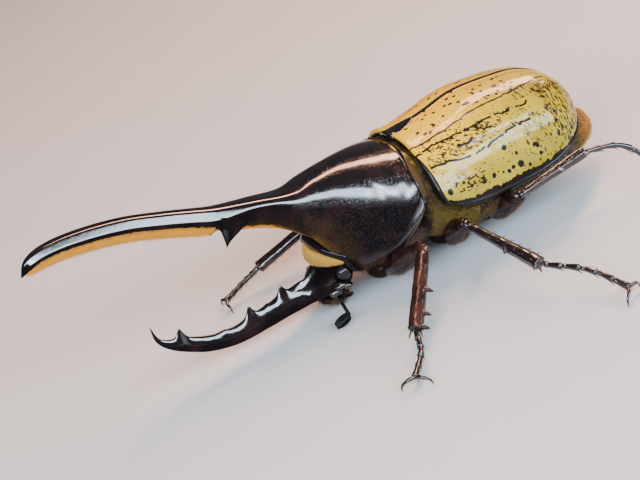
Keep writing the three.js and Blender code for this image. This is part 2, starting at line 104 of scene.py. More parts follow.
def through(stations: Stations, at: Array) -> Array:
    """The smooth curve through (place, value) stations: on each stretch a cubic whose end slopes
    are those of the lines between the stations on either side.

    Args:
        stations: Places in rising order, each with its value.
        at: Places to read the curve at. Beyond the ends the end values hold.

    Returns:
        The values, shaped like at.
    """
    place, value = np.array(stations, float).T
    slope = np.gradient(value)
    slope[1:-1] = (value[2:] - value[:-2]) / (place[2:] - place[:-2])
    slope[0] = (value[1] - value[0]) / (place[1] - place[0])
    slope[-1] = (value[-1] - value[-2]) / (place[-1] - place[-2])
    i = np.clip(np.searchsorted(place, at) - 1, 0, len(place) - 2)
    width = place[i + 1] - place[i]
    t = np.clip((at - place[i]) / width, 0, 1)
    bend = width * t * (1 - t) * ((1 - t) * slope[i] - t * slope[i + 1])
    return value[i] + (value[i + 1] - value[i]) * t * t * (3 - 2 * t) + bend


def blend(low: float, high: float, at: Array) -> Array:
    """A smooth rise from 0 at low to 1 at high, three t squared less two t cubed."""
    t = np.clip((np.asarray(at, float) - low) / (high - low), 0, 1)
    return t * t * (3 - 2 * t)


def evenly(count: int) -> Array:
    """That many numbers at even steps from 0 to 1."""
    return np.linspace(0, 1, count)


def fall(high: float, low: float, at: Array) -> Array:
    """A smooth fall from 1 at high to 0 at low, one less blend."""
    return 1 - blend(high, low, at)


def hump(distance: Array) -> Array:
    """A bell that is 1 at distance 0: e to the power of minus the distance squared."""
    return np.exp(-np.square(distance))


def power(value: Array, exponent: float) -> Array:
    """The value to a power with its sign kept. A power below one squares a round form."""
    return np.sign(value) * np.abs(value) ** exponent


def speckle(x: Array, y: Array, cell: float, seed: int) -> Array:
    """Smooth noise from -1 to 1: random numbers on a square lattice, blended between its corners.

    Args:
        x: First coordinate.
        y: Second coordinate, shaped like x.
        cell: Size of the lattice's squares.
        seed: Which noise it is.

    Returns:
        The noise, shaped like x.
    """
    table = np.random.default_rng(seed).uniform(-1, 1, (64, 64))
    gx, gy = x / cell, y / cell
    i, j = np.floor(gx).astype(int), np.floor(gy).astype(int)
    fx, fy = blend(0, 1, gx - i), blend(0, 1, gy - j)
    near = table[i % 64, j % 64] * (1 - fx) + table[(i + 1) % 64, j % 64] * fx
    far = table[i % 64, (j + 1) % 64] * (1 - fx) + table[(i + 1) % 64, (j + 1) % 64] * fx
    return near * (1 - fy) + far * fy


def unit(vectors: Array) -> Array:
    """The vectors at length 1."""
    return vectors / (np.linalg.norm(vectors, axis=-1, keepdims=True) + 1e-12)


def paired(t: Array, a: Array) -> Sequence[Array]:
    """Both as arrays of one shape."""
    return np.broadcast_arrays(np.asarray(t, float), np.asarray(a, float))


def from_top(a: Array) -> Array:
    """How far round a tube a is from the top: 0 there, 0.25 at a side and 0.5 underneath."""
    return np.abs(((a + 0.5) % 1) - 0.5)


# ---- Places -------------------------------------------------------------------------------


@dataclass(frozen=True)
class BodyFrame:
    """The beetle's own frame inside the model's. The body stands nose up on its legs.

    Attributes:
        shift: Floor point under the body's origin, in millimetres of the model's frame.
        pitch: Degrees nose up.
        height: Height of the body's origin over the floor.
    """

    shift: Pair
    pitch: float = 3.5
    height: float = 16.0

    EYE_MIDDLE = (0.0, -25.3, -5.6)

    @classmethod
    def read(cls) -> "BodyFrame":
        """The frame that puts the middle between the eyes where the frame's eyes have it."""
        middle = np.mean([centre_of(f"eye_{side.word}") for side in Side], axis=0)
        stood = cls((0.0, 0.0)).stand(np.array(cls.EYE_MIDDLE))
        return cls((middle[0] - stood[0], middle[1] - stood[1]))

    @property
    def turn(self) -> Array:
        """The turn about X that lifts the nose, as a 3 by 3 matrix."""
        c, s = np.cos(np.radians(-self.pitch)), np.sin(np.radians(-self.pitch))
        return np.array([[1, 0, 0], [0, c, -s], [0, s, c]])

    def stand(self, points: Array) -> Array:
        """Body points in the floor's frame: turned nose up and lifted, still in millimetres."""
        return np.asarray(points, float) @ self.turn.T + [0, 0, self.height]

    def on_floor(self, points: Array) -> Array:
        """Points of the floor's frame in metres of the model's frame."""
        return (np.asarray(points, float) + [*self.shift, 0]) * MM

    def place(self, points: Array) -> Array:
        """Body points in metres of the model's frame."""
        return self.on_floor(self.stand(points))


def centre_of(node: str) -> Array:
    """The middle of a node's box, in millimetres of the model's frame."""
    low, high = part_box(node)
    return (np.array(low) + np.array(high)) / 2 / MM


# ---- Surfaces -----------------------------------------------------------------------------


@dataclass(frozen=True)
class Path:
    """A smooth curve through points at even steps of t, with a steady sideways direction.

    Attributes:
        points: The points that it goes through.
        across: The direction that its cross-sections keep as their sideways one.
    """

    points: Array
    across: Point = (1.0, 0.0, 0.0)

    def at(self, t: Array) -> Array:
        """Points of the curve: each coordinate is the smooth curve through its own stations.

        Args:
            t: Places from 0 to 1. Beyond them the end points hold.

        Returns:
            The points.
        """
        steps = evenly(len(self.points))
        columns = [
            through(list(zip(steps, np.asarray(self.points)[:, k])), np.clip(t, 0, 1))
            for k in range(3)
        ]
        return np.stack(columns, -1)

    def axes(self, t: Array) -> tuple[Array, Array, Array]:
        """The directions along the curve, to its side and up, each at right angles to the rest.

        Args:
            t: Places from 0 to 1.

        Returns:
            The three directions, of length 1.
        """
        step = 1e-3
        along = unit(self.at(t + step * (t < 1 - step)) - self.at(t - step * (t > step)))
        side = np.array(self.across) - along * (along @ np.array(self.across))[..., None]
        side = unit(side)
        return along, side, np.cross(along, side)

    def tube(self, half_width: Tube, half_depth: Tube, squareness: float = 1.0) -> Tube:
        """A tube round the curve. a runs from the top over the side: a point is the centre, plus
        the half width times the sine of the turn to the side, plus the half depth times its
        cosine upwards.

        Args:
            half_width: Half width at (t, a).
            half_depth: Half depth at (t, a).
            squareness: Power of the sine and cosine, 1 for an ellipse.

        Returns:
            The tube's surface.
        """

        def surface(t: Array, a: Array) -> Array:
            """Points of the tube.

            Args:
                t: Place along it.
                a: Turn around it.

            Returns:
                The points.
            """
            t, a = paired(t, a)
            _, side, up = self.axes(t)
            sine = power(np.sin(2 * np.pi * a), squareness)
            cosine = power(np.cos(2 * np.pi * a), squareness)
            out = side * (half_width(t, a) * sine)[..., None]
            return self.at(t) + out + up * (half_depth(t, a) * cosine)[..., None]

        return surface


def grid_of(surface: Tube, along: Array, around: int) -> Array:
    """The surface's points at the given t and at even steps of a, as (len(along), around, 3)."""
    a = np.arange(around) / around
    return surface(np.asarray(along, float)[:, None], a[None, :])


def normals_of(grid: Array) -> Array:
    """Outward normals of a grid that closes around: the cross product of its two tangents, turned
    away from the middle of its ring.

    Args:
        grid: Points as (rings, points around, 3).

    Returns:
        The normals, shaped like the grid.
    """
    along = np.gradient(grid, axis=0)
    around = np.roll(grid, -1, 1) - np.roll(grid, 1, 1)
    normal = unit(np.cross(along, around))
    outward = grid - grid.mean(1, keepdims=True)
    sign = np.sign(np.sum(normal * outward, axis=(1, 2), keepdims=True))
    return normal * np.where(sign == 0, 1, sign)


def settle(grid: Array, passes: int) -> Array:
    """The grid with each ring moved to the mean of itself and its neighbours, some times over.

    Args:
        grid: Points as (rings, points around, 3), which are changed.
        passes: How many times.

    Returns:
        The grid.
    """
    for _ in range(passes):
        grid[1:-1] = (grid[:-2] + 2 * grid[1:-1] + grid[2:]) / 4
    return grid


class Piece:
    """A mesh in the making: closed tubes joined into one object, with numbers on its points."""

    def __init__(self, name: str) -> None:
        """Starts an empty piece of that name.

        Args:
            name: The finished object's name.
        """
        self.name = name
        self.points: list[Array] = []
        self.quads: list[Array] = []
        self.values: list[dict[str, Array]] = []

    def add(self, grid: Array, **values: Array) -> "Piece":
        """Joins a tube to the piece. Each end is closed with a ladder of faces between the two
        halves of its ring, and faces are turned outwards by the sign of the volume they hold.

        Args:
            grid: Points as (rings, points around, 3), with an even number around.
            values: Numbers on the points by name, that fit the grid's first two sizes.

        Returns:
            The piece itself.
        """
        rings, around = grid.shape[:2]
        index = np.arange(rings * around).reshape(rings, around)
        after = np.roll(index, -1, 1)
        walls = np.stack([index[:-1], after[:-1], after[1:], index[1:]], -1).reshape(-1, 4)
        c = np.arange(around // 2 - 1)
        rungs = np.stack([c, around - 1 - c, around - 2 - c, c + 1], -1)
        far = (rings - 1) * around + rungs[:, ::-1]
        quads = np.concatenate([walls, rungs, far])
        flat = grid.reshape(-1, 3)
        a, b, c, d = (flat[quads[:, k]] - flat.mean(0) for k in range(4))
        held = np.sum(np.cross(a, b) * c) + np.sum(np.cross(a, c) * d)
        if held < 0:
            quads = quads[:, ::-1]
        offset = sum(len(part) for part in self.points)
        self.points.append(flat)
        self.quads.append(quads + offset)
        spread = {
            key: np.broadcast_to(value, (rings, around)).ravel() for key, value in values.items()
        }
        self.values.append(spread)
        return self

    def build(self, place: Mover) -> Object:
        """The finished object.

        Args:
            place: Turns the piece's points into metres of the model's frame.

        Returns:
            The object, smooth shaded, at the model's origin.
        """
        points = np.concatenate(self.points)
        mesh = new_mesh(self.name, place(points), np.concatenate(self.quads), None)
        for key in sorted({key for part in self.values for key in part}):
            parts = zip(self.values, self.points)
            column = [values.get(key, np.zeros(len(points))) for values, points in parts]
            carry(mesh, key, np.concatenate(column))
        return put_in_scene(mesh)


def new_mesh(name: str, points: Array, quads: Array, tris: Optional[Array]) -> bpy.types.Mesh:
    """A smooth shaded mesh of quads, and of triangles where there are some.

    Args:
        name: The mesh's name.
        points: Vertices in metres.
        quads: Vertex numbers as (faces, 4).
        tris: Vertex numbers as (faces, 3), or None.

    Returns:
        The mesh.
    """
    mesh = bpy.data.meshes.new(name)
    tris = np.zeros((0, 3), int) if tris is None else tris
    corners = np.concatenate([quads.ravel(), tris.ravel()]).astype(np.int32)
    sizes = np.concatenate([np.full(len(quads), 4), np.full(len(tris), 3)])
    starts = np.concatenate([[0], np.cumsum(sizes)[:-1]]).astype(np.int32)
    mesh.vertices.add(len(points))
    mesh.vertices.foreach_set("co", points.astype(np.float32).ravel())
    mesh.loops.add(len(corners))
    mesh.loops.foreach_set("vertex_index", corners)
    mesh.polygons.add(len(sizes))
    mesh.polygons.foreach_set("loop_start", starts)
    mesh.update(calc_edges=True)
    mesh.shade_smooth()
    return mesh


def carry(mesh: bpy.types.Mesh, name: str, values: Array) -> None:
    """Puts numbers on the mesh's points under that name."""
    layer = mesh.attributes.new(name, "FLOAT", "POINT")
    layer.data.foreach_set("value", values.astype(np.float32))


def put_in_scene(mesh: bpy.types.Mesh) -> Object:
    """A new object of the mesh in the scene's collection."""
    made = bpy.data.objects.new(mesh.name, mesh)
    bpy.context.scene.collection.objects.link(made)
    return made


# ---- Finishes -----------------------------------------------------------------------------

Color = Point


class Tree:
    """A material's nodes, each added and joined in a line."""

    def __init__(self, name: str) -> None:
        """Starts a material of that name with one Principled shader.

        Args:
            name: The material's name.
        """
        self.material = bpy.data.materials.new(name)
        self.material.use_nodes = True
        self.material.node_tree.nodes.clear()
        self.shader = self.add("ShaderNodeBsdfPrincipled")
        self.add("ShaderNodeOutputMaterial", {"Surface": self.shader.outputs["BSDF"]})
        self.here = self.add("ShaderNodeTexCoord").outputs["Object"]

    def add(self, kind: str, inputs: Optional[dict] = None, **settings: object) -> bpy.types.Node:
        """A new node.

        Args:
            kind: The node's type.
            inputs: Constants, or other nodes' outputs, by socket name or number.
            settings: The node's own properties.

        Returns:
            The node.
        """
        node = self.material.node_tree.nodes.new(kind)
        for key, value in settings.items():
            setattr(node, key, value)
        for key, value in (inputs or {}).items():
            self.join(value, node.inputs[key])
        return node

    def join(self, value: object, socket: Socket) -> None:
        """Links an output to the socket, or sets the constant on it.

        Args:
            value: A constant, or another node's output.
            socket: Where it goes.
        """
        if isinstance(value, Socket):
            self.material.node_tree.links.new(value, socket)
        else:
            socket.default_value = value

    def surface(self, **inputs: object) -> Material:
        """Sets the shader's sockets, with _ for a space in their names, and gives the material."""
        for key, value in inputs.items():
            self.join(value, self.shader.inputs[key.replace("_", " ")])
        return self.material

    def number(self, name: str) -> Socket:
        """The number that the points carry under that name."""
        return self.add("ShaderNodeAttribute", attribute_name=name).outputs["Fac"]

    def noise(self, size: float, detail: float = 3.0) -> Socket:
        """Cloudy noise from 0 to 1 with grains of that many millimetres."""
        inputs = {"Vector": self.here, "Scale": 1 / (size * MM), "Detail": detail}
        return self.add("ShaderNodeTexNoise", inputs).outputs["Fac"]

    def pits(self, size: float, feature: str = "F1") -> Socket:
        """Distance to the nearest of points scattered that many millimetres apart."""
        inputs = {"Vector": self.here, "Scale": 1 / (size * MM)}
        return self.add("ShaderNodeTexVoronoi", inputs, feature=feature).outputs["Distance"]

    def math(self, operation: str, a: object, b: object = 0.0) -> Socket:
        """One sum on two numbers, kept between 0 and 1."""
        settings = {"operation": operation, "use_clamp": True}
        return self.add("ShaderNodeMath", {0: a, 1: b}, **settings).outputs[0]

    def between(self, value: object, low: float, high: float) -> Socket:
        """A smooth rise from 0 where the value is low to 1 where it is high."""
        inputs = {"Value": value, "From Min": low, "From Max": high}
        settings = {"interpolation_type": "SMOOTHSTEP"}
        return self.add("ShaderNodeMapRange", inputs, **settings).outputs["Result"]

    def scaled(self, value: object, low: float, high: float) -> Socket:
        """A value from 0 to 1 stretched to run from low to high."""
        inputs = {"Value": value, "To Min": low, "To Max": high}
        return self.add("ShaderNodeMapRange", inputs).outputs["Result"]

    def mix(self, share: object, a: object, b: object) -> Socket:
        """A colour between a and b by the share of b."""
        opaque = [(*c, 1.0) if isinstance(c, tuple) else c for c in (a, b)]
        inputs = {0: share, 6: opaque[0], 7: opaque[1]}
        return self.add("ShaderNodeMix", inputs, data_type="RGBA").outputs[2]

    def bump(self, height: object, depth: float, under: Optional[Socket] = None) -> Socket:
        """Normals of a relief that many millimetres deep, over another relief if one is given.

        Args:
            height: The relief, from 0 to 1.
            depth: Its depth in millimetres.
            under: The other relief's normals.

        Returns:
            The normals.
        """
        inputs = {"Height": height, "Distance": depth * MM, "Strength": 1.0}
        node = self.add("ShaderNodeBump", inputs)
        if under is not None:
            self.join(under, node.inputs["Normal"])
        return node.outputs["Normal"]


@dataclass(frozen=True)
class BlackShell:
    """Polished black-brown cuticle. Points carry grain, how pitted it is, dull, how little it
    shines, and amber, a painted glow: colour that stands in for light shining through a thin edge."""

    name: str = "black_shell"
    black: Color = (0.0045, 0.0032, 0.0036)
    brown: Color = (0.013, 0.006, 0.006)
    # Colour of the painted glow, which stands in for light shining through thin edges
    amber: Color = (0.17, 0.082, 0.012)
    pit_size: float = 0.36
    pit_depth: float = 0.045

    def make(self) -> Material:
        """The material: black clouded with brown, pits where the grain is, and a painted amber glow
        with painted glints.
        """
        tree = Tree(self.name)
        grain, amber = tree.number("grain"), tree.number("amber")
        clouds = tree.noise(5, 4)
        pits = tree.pits(self.pit_size)
        grains = tree.math("MULTIPLY", tree.between(pits, 0.34, 0.14), grain)
        color = tree.mix(tree.between(clouds, 0.4, 0.75), self.black, self.brown)
        # Painted light: amber glints in the pits and an amber glow along thin edges, mixed into the
        # base colour
        speck = tree.math("MULTIPLY", tree.between(pits, 0.16, 0.05), amber)
        glow = tree.math("ADD", tree.math("MULTIPLY", amber, tree.scaled(clouds, 0.3, 1.0)), speck)
        color = tree.mix(glow, color, self.amber)
        fine = tree.bump(tree.noise(1.2, 3), 0.008)
        rough = tree.scaled(grain, 0.09, 0.17)
        shine = tree.scaled(tree.number("dull"), 0.85, 0.02)
        return tree.surface(
            Base_Color=color,
            Roughness=tree.math("ADD", rough, tree.scaled(tree.noise(1.6, 5), -0.03, 0.05)),
            Specular_IOR_Level=tree.math("ADD", shine, tree.math("MULTIPLY", grains, 0.4)),
            Normal=tree.bump(grains, self.pit_depth, fine),
        )


@dataclass(frozen=True)
class BrownShell:
    """Satin red-brown cuticle with scattered pits, as on the legs and the underside."""

    name: str = "brown_shell"
    dark: Color = (0.009, 0.0045, 0.004)
    red: Color = (0.04, 0.013, 0.008)
    redness: float = 0.5
    gloss: float = 0.3

    def make(self) -> Material:
        """The material: dark brown with red patches, and shallow pits."""
        tree = Tree(self.name)
        patches = tree.between(tree.noise(2.2, 4), 0.62 - 0.4 * self.redness, 0.85)
        pits = tree.between(tree.pits(0.55), 0.05, 0.4)
        return tree.surface(
            Base_Color=tree.mix(patches, self.dark, self.red),
            Roughness=tree.scaled(tree.noise(0.8, 4), 0.14, 0.28),
            Specular_IOR_Level=self.gloss,
            Normal=tree.bump(pits, 0.02, tree.bump(tree.noise(0.9, 3), 0.012)),
        )


@dataclass(frozen=True)
class CopperSheenShell:
    """Smooth dark cuticle with coppery red-brown clouds, partly its own red-brown and partly a
    painted warm reflection. Only the near front shin wears it.
    """

    name: str = "copper_sheen_shell"
    dark: Color = (0.016, 0.007, 0.006)
    copper_tone_and_sheen: Color = (0.048, 0.018, 0.012)

    def make(self) -> Material:
        """The material: copper clouds on dark, partly painted warm reflection, with shallow pits
        and a metal-like gloss.
        """
        tree = Tree(self.name)
        clouds = tree.between(tree.noise(4.0, 3), 0.36, 0.6)
        pits = tree.between(tree.pits(0.7), 0.04, 0.3)
        clouds = tree.math("MULTIPLY", clouds, tree.between(tree.number("grain"), 0.1, 0.3))
        return tree.surface(
            Base_Color=tree.mix(clouds, self.dark, self.copper_tone_and_sheen),
            Roughness=tree.scaled(tree.noise(0.8, 3), 0.17, 0.27),
            Metallic=0.25,
            Normal=tree.bump(pits, 0.02, tree.bump(tree.noise(0.6, 3), 0.012)),
        )


@dataclass(frozen=True)
class WingCaseShell:
    """Varnished olive and golden cuticle. Points carry ink, which is over a half inside a black
    mark, and flush, how golden it is, partly its own gold and partly painted warm light."""

    name: str = "wing_case"
    olive: Color = (0.215, 0.17, 0.01)
    pale: Color = (0.32, 0.255, 0.018)
    # Gold of the flush, partly the cuticle's own gold and partly painted warm light
    gold: Color = (0.66, 0.375, 0.01)
    brown: Color = (0.085, 0.036, 0.008)
    black: Color = (0.007, 0.005, 0.004)

    def make(self) -> Material:
        """The material: olive to gold with faint streaks, brown and then black into the marks."""
        tree = Tree(self.name)
        ragged = tree.scaled(tree.noise(0.35, 3), -0.22, 0.22)
        ink = tree.add("ShaderNodeMath", {0: tree.number("ink"), 1: ragged}).outputs[0]
        clouds = tree.noise(6, 4)
        ground = tree.mix(tree.between(clouds, 0.35, 0.7), self.olive, self.pale)
        # Partly painted warm light: the flush turns the front and the top gold
        ground = tree.mix(tree.number("flush"), ground, self.gold)
        freckles = tree.math("MULTIPLY", tree.between(tree.noise(0.5, 2), 0.62, 0.8), 0.3)
        ground = tree.mix(freckles, ground, self.brown)
        ground = tree.mix(tree.between(ink, 0.28, 0.5), ground, self.brown)
        marks = tree.between(ink, 0.44, 0.6)
        color = tree.mix(marks, ground, self.black)
        return tree.surface(
            Base_Color=color,
            Roughness=tree.scaled(tree.noise(1.5, 5), 0.3, 0.45),
            Specular_IOR_Level=0.12,
            Coat_Weight=tree.scaled(marks, 0.55, 0.15),
            Coat_Roughness=0.12,
            Normal=tree.bump(tree.noise(1.1, 4), 0.035),
        )


@dataclass(frozen=True)
class Membrane:
    """Leathery skin between the plates, brown where it is thick and golden where it is thin.
    Points carry shade, which keeps it brown."""

    name: str = "membrane"
    brown: Color = (0.075, 0.035, 0.012)
    golden: Color = (0.40, 0.24, 0.05)

    def make(self) -> Material:
        """The material: brown and golden patches over a wrinkled relief."""
        tree = Tree(self.name)
        patches = tree.between(tree.noise(3.0, 5), 0.42, 0.62)
        patches = tree.math("SUBTRACT", patches, tree.number("shade"))
        return tree.surface(
            Base_Color=tree.mix(patches, self.brown, self.golden),
            Roughness=tree.scaled(tree.noise(1.0, 3), 0.35, 0.6),
            Specular_IOR_Level=0.15,
            Normal=tree.bump(tree.noise(0.7, 4), 0.15),
        )


@dataclass(frozen=True)
class EyeShell:
    """The eye: black and wet, with fine facets."""

    name: str = "eye"
    black: Color = (0.006, 0.005, 0.008)
    brown: Color = (0.035, 0.018, 0.014)

    def make(self) -> Material:
        """The material: a faint brown cloud under a smooth varnish over fine facets."""
        tree = Tree(self.name)
        return tree.surface(
            Base_Color=tree.mix(tree.between(tree.noise(1.0, 2), 0.5, 0.8), self.black, self.brown),
            Roughness=0.25,
            Specular_IOR_Level=0.15,
            Coat_Weight=0.4,
            Coat_Roughness=0.04,
            Normal=tree.bump(tree.pits(0.09), 0.012),
        )


@dataclass(frozen=True)
class HairFinish:
    """Hair. Points carry along, from 0 at the root to 1 at the tip, and tint, each hair's own
    shade."""

    name: str
    root: Color
    tip: Color
    dark: Color
    silk: float = 0.25

    def make(self) -> Material:
        """The material: root to tip, with some hairs darker than others, and a silky gloss."""
        tree = Tree(self.name)
        color = tree.mix(tree.number("along"), self.root, self.tip)
        shade = tree.math("MULTIPLY", tree.number("tint"), 0.55)
        color = tree.mix(shade, color, self.dark)
        color = tree.mix(tree.math("MULTIPLY", tree.noise(2.5, 2), 0.3), color, self.dark)
        return tree.surface(
            Base_Color=color,
            Roughness=0.48,
            Specular_IOR_Level=0.1 + self.silk,
            Sheen_Weight=self.silk,
            Sheen_Roughness=0.4,
        )


@dataclass(frozen=True)
class Paper:
    """The studio's pale paper floor."""

    name: str = "studio_paper"
    pale: Color = (0.49, 0.485, 0.475)
    paler: Color = (0.53, 0.525, 0.515)

    def make(self) -> Material:
        """The material: two near shades in soft clouds, matt."""
        tree = Tree(self.name)
        return tree.surface(
            Base_Color=tree.mix(tree.noise(60, 3), self.pale, self.paler),
            Roughness=0.85,
            Normal=tree.bump(tree.noise(0.6, 2), 0.01),
        )


FEELER_SHELL = BrownShell("feeler_shell", (0.003, 0.002, 0.002), (0.02, 0.01, 0.008), 0.2, 0.08)
MOUTH_SHELL = BrownShell("mouth_shell", redness=0.3, gloss=0.06)
BELLY_SHELL = BrownShell("belly_shell", redness=0.7)
# Painted shade: a darker, duller copy of the brown shell for the hips, which sit in shade under the
# body
SHADED_HIP_SHELL = BrownShell("shaded_hip_shell", redness=0.1, gloss=0.04)
VELVET_HAIR = HairFinish(
    "velvet_hair", (0.34, 0.08, 0.004), (1.0, 0.5, 0.03), (0.8, 0.28, 0.01), 0.1
)
BRUSH_HAIR = HairFinish("brush_hair", (0.5, 0.24, 0.02), (1.0, 0.6, 0.11), (0.5, 0.24, 0.02), 0.1)
COLLAR_HAIR = HairFinish(
    "collar_hair", (0.03, 0.012, 0.003), (0.26, 0.13, 0.02), (0.04, 0.016, 0.004), 0.1
)
FLANK_HAIR = HairFinish(
    "flank_hair", (0.03, 0.018, 0.003), (0.32, 0.215, 0.022), (0.035, 0.02, 0.004), 0.05
)
TAIL_HAIR = HairFinish("tail_hair", (0.2, 0.06, 0.006), (0.8, 0.36, 0.03), (0.3, 0.1, 0.01), 0.1)
# Rusty brown hair for the chin, chest and thighs, partly its own colour and partly darkened as
# painted shade under the body
RUSTY_SHADED_HAIR = HairFinish(
    "rusty_shaded_hair", (0.02, 0.008, 0.003), (0.15, 0.06, 0.014), (0.03, 0.01, 0.003), 0.1
)


class Wardrobe:
    """Makes each finish once and hands the same material to every piece that asks for it."""

    def __init__(self) -> None:
        """Starts with nothing made."""
        self.made: dict[str, Material] = {}

    def dress(self, piece: Object, finish: object, slot: Slot, *nodes: str) -> None:
        """Gives a piece its finish and its place in the frame.

        Args:
            piece: The finished object.
            finish: One of the finishes above.
            slot: The record's slot for the piece. Not used.
            nodes: Solids of the frame that the piece stands for.
        """
        if finish.name not in self.made:
            self.made[finish.name] = finish.make()
        piece.data.materials.append(self.made[finish.name])
        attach(piece, "root")
        if nodes:
            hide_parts(*nodes)
        log.info("%s: %d faces", piece.name, len(piece.data.polygons))


# ---- Hair ---------------------------------------------------------------------------------


@dataclass
class Roots:
    """Where hairs grow.

    Attributes:
        points: Places on the skin.
        normals: Outward directions there.
        flow: Directions that the coat lies in, along the skin.
        patch: Places on the unwrap of the skin, from 0 to 1.
        share: Length of each hair as a share of the coat's.
    """

    points: Array
    normals: Array
    flow: Array
    patch: Array
    share: Array


def scatter(
    surface: Tube,
    count: int,
    rng: Chance,
    density: Tube,
    flow: Mover,
    t_range: Pair = (0.0, 1.0),
    a_range: Pair = (0.0, 1.0),
) -> Roots:
    """Roots spread over a tube. Candidates at random (t, a) are kept by chance, in step with the
    area of skin that each stands for times the density there.

    Args:
        surface: The skin.
        count: Number of hairs.
        rng: Source of chance.
        density: How thick the coat grows at (t, a), from 0 to 1. It also shortens the hairs.
        flow: Direction that the coat lies in, from the points.
        t_range: Stretch of t that is covered.
        a_range: Stretch of a that is covered.

    Returns:
        The roots.
    """
    t = rng.uniform(*t_range, count * 4)
    a = rng.uniform(*a_range, count * 4)
    step = 2e-3
    here = surface(t, a)
    along = surface(np.minimum(t + step, 1), a) - surface(np.maximum(t - step, 0), a)
    around = surface(t, a + step) - surface(t, a - step)
    middle = sum(surface(t, (a + k / 4) % 1) for k in range(4)) / 4
    normal = np.cross(along, around)
    thick = density(t, a)
    weight = np.linalg.norm(normal, axis=-1) * np.maximum(thick, 0) + 1e-12
    normal = unit(normal) * np.sign(np.sum(normal * (here - middle), -1, keepdims=True))
    chosen = rng.choice(len(t), count, replace=False, p=weight / weight.sum())
    way = flow(here)
    way = unit(way - normal * np.sum(way * normal, -1, keepdims=True))
    patch = np.stack([t, a], -1) * 0.9 + 0.05
    share = np.sqrt(np.clip(thick, 0.05, 1))
    return Roots(here[chosen], normal[chosen], way[chosen], patch[chosen], share[chosen])


@dataclass(frozen=True)
class Coat:
    """A coat of closed, tapering, three-sided hairs.

    Attributes:
        name: The piece's name.
        length: Length of a hair.
        width: Width at the root.
        lift: How far a hair stands up, from 0, flat, to 1, upright.
        droop: Direction and strength of the bend towards the tip, as a share of the length.
        mess: How much the hairs' directions differ.
        rings: Rings of points below the tip.
    """

    name: str
    length: float
    width: float
    lift: float
    droop: Point = (0.0, 0.0, 0.0)
    mess: float = 0.2
    rings: int = 2

    def grow(self, roots: Roots, rng: Chance, place: Mover) -> Object:
        """The coat as one mesh. A hair's middle line is its root, plus its direction times the
        way along, plus the droop times the way squared. Its rings are triangles that narrow with
        the square root of what is left to the tip.

        Args:
            roots: Where the hairs grow.
            rng: Source of chance.
            place: Turns points into metres of the model's frame.

        Returns:
            The object, with its hairs' patches in the UV map OFBake.
        """
        count = len(roots.points)
        way = roots.normals * self.lift + roots.flow * (1 - self.lift)
        way = unit(way + rng.normal(0, self.mess, (count, 3)))
        side = unit(np.cross(way, rng.normal(0, 1, (count, 3))))
        up = np.cross(way, side)
        reach = self.length * roots.share * rng.uniform(0.75, 1.1, count)
        steps = evenly(self.rings + 1)
        bend = np.array(self.droop)
        rings = []
        for step in steps[:-1]:
            middle = roots.points + reach[:, None] * (way * step + bend * step**2)
            middle = middle - way * (0.1 if step == 0 else 0)
            radius = self.width / 2 * np.sqrt(1 - step)
            for corner in range(3):
                turn = 2 * np.pi * corner / 3
                rings.append(middle + radius * (side * np.cos(turn) + up * np.sin(turn)))
        rings.append(roots.points + reach[:, None] * (way + bend))
        points = np.stack(rings, 1)
        per_hair = points.shape[1]
        tip = per_hair - 1
        corner = np.arange(3)
        after = (corner + 1) % 3
        levels = 3 * np.arange(self.rings - 1)[:, None]
        quads = np.stack(
            [levels + corner, levels + after, levels + 3 + after, levels + 3 + corner], -1
        ).reshape(-1, 4)
        last = tip - 3
        tris = np.stack([last + corner, last + after, np.full(3, tip)], -1)
        tris = np.concatenate([tris, [[2, 1, 0]]])
        offset = (np.arange(count) * per_hair)[:, None, None]
        quads = (quads + offset).reshape(-1, 4)
        tris = (tris + offset).reshape(-1, 3)
        mesh = new_mesh(self.name, place(points.reshape(-1, 3)), quads, tris)
        along = np.repeat(steps, [3] * self.rings + [1])
        carry(mesh, "along", np.tile(along, count))
        carry(mesh, "tint", np.repeat(rng.uniform(0, 1, count) ** 2, per_hair))
        spot = np.zeros((per_hair, 2))
        spot[:tip, 0] = 0.0013 * np.cos(np.arange(tip) * 2 * np.pi / 3)
        spot[:tip, 1] = 0.0013 * np.sin(np.arange(tip) * 2 * np.pi / 3)
        spot *= (1 - along)[:, None] * 0.8 + 0.2
        patches = (roots.patch[:, None] + spot).reshape(-1, 2)
        corners = np.concatenate([quads.ravel(), tris.ravel()])
        layer = mesh.uv_layers.new(name="OFBake")
        layer.data.foreach_set("uv", patches[corners].astype(np.float32).ravel())
        return put_in_scene(mesh)


@dataclass
class Part:
    """A sub-assembly of the beetle.

    Attributes:
        body: The beetle's own frame.
        wardrobe: Where its finishes come from.
    """

    body: BodyFrame
    wardrobe: Wardrobe

    def place(self, points: Array) -> Array:
        """Its points in metres of the model's frame."""
        return self.body.place(points)

    def show(self, piece: Piece, finish: object, slot: Slot, *nodes: str) -> None:
        """Builds a piece and dresses it."""
        self.wardrobe.dress(piece.build(self.place), finish, slot, *nodes)

    def grow(
        self, coat: Coat, roots: Roots, rng: Chance, finish: HairFinish, slot: Slot,
        *nodes: str,
    ) -> None:
        """Grows a coat and dresses it."""
        self.wardrobe.dress(coat.grow(roots, rng, self.place), finish, slot, *nodes)


# ---- Small forms --------------------------------------------------------------------------


def egg(
    centre: Sequence[float], radii: Sequence[float], rings: int = 24, around: int = 32
) -> Array:
    """A grid over an ellipsoid: circles of the sine of the latitude, that many radii from the
    centre on each axis. The poles are on X.

    Args:
        centre: Its middle.
        radii: Its half sizes.
        rings: Number of circles.
        around: Points on each, an even number.

    Returns:
        The points.
    """
    latitude = np.linspace(0.02, np.pi - 0.02, rings)[:, None]
    turn = 2 * np.pi * (np.arange(around) / around)[None, :]
    ball = [
        np.cos(latitude) + 0 * turn,
        np.sin(latitude) * np.sin(turn),
        np.sin(latitude) * np.cos(turn),
    ]
    return np.array(centre) + np.stack(ball, -1) * np.array(radii)


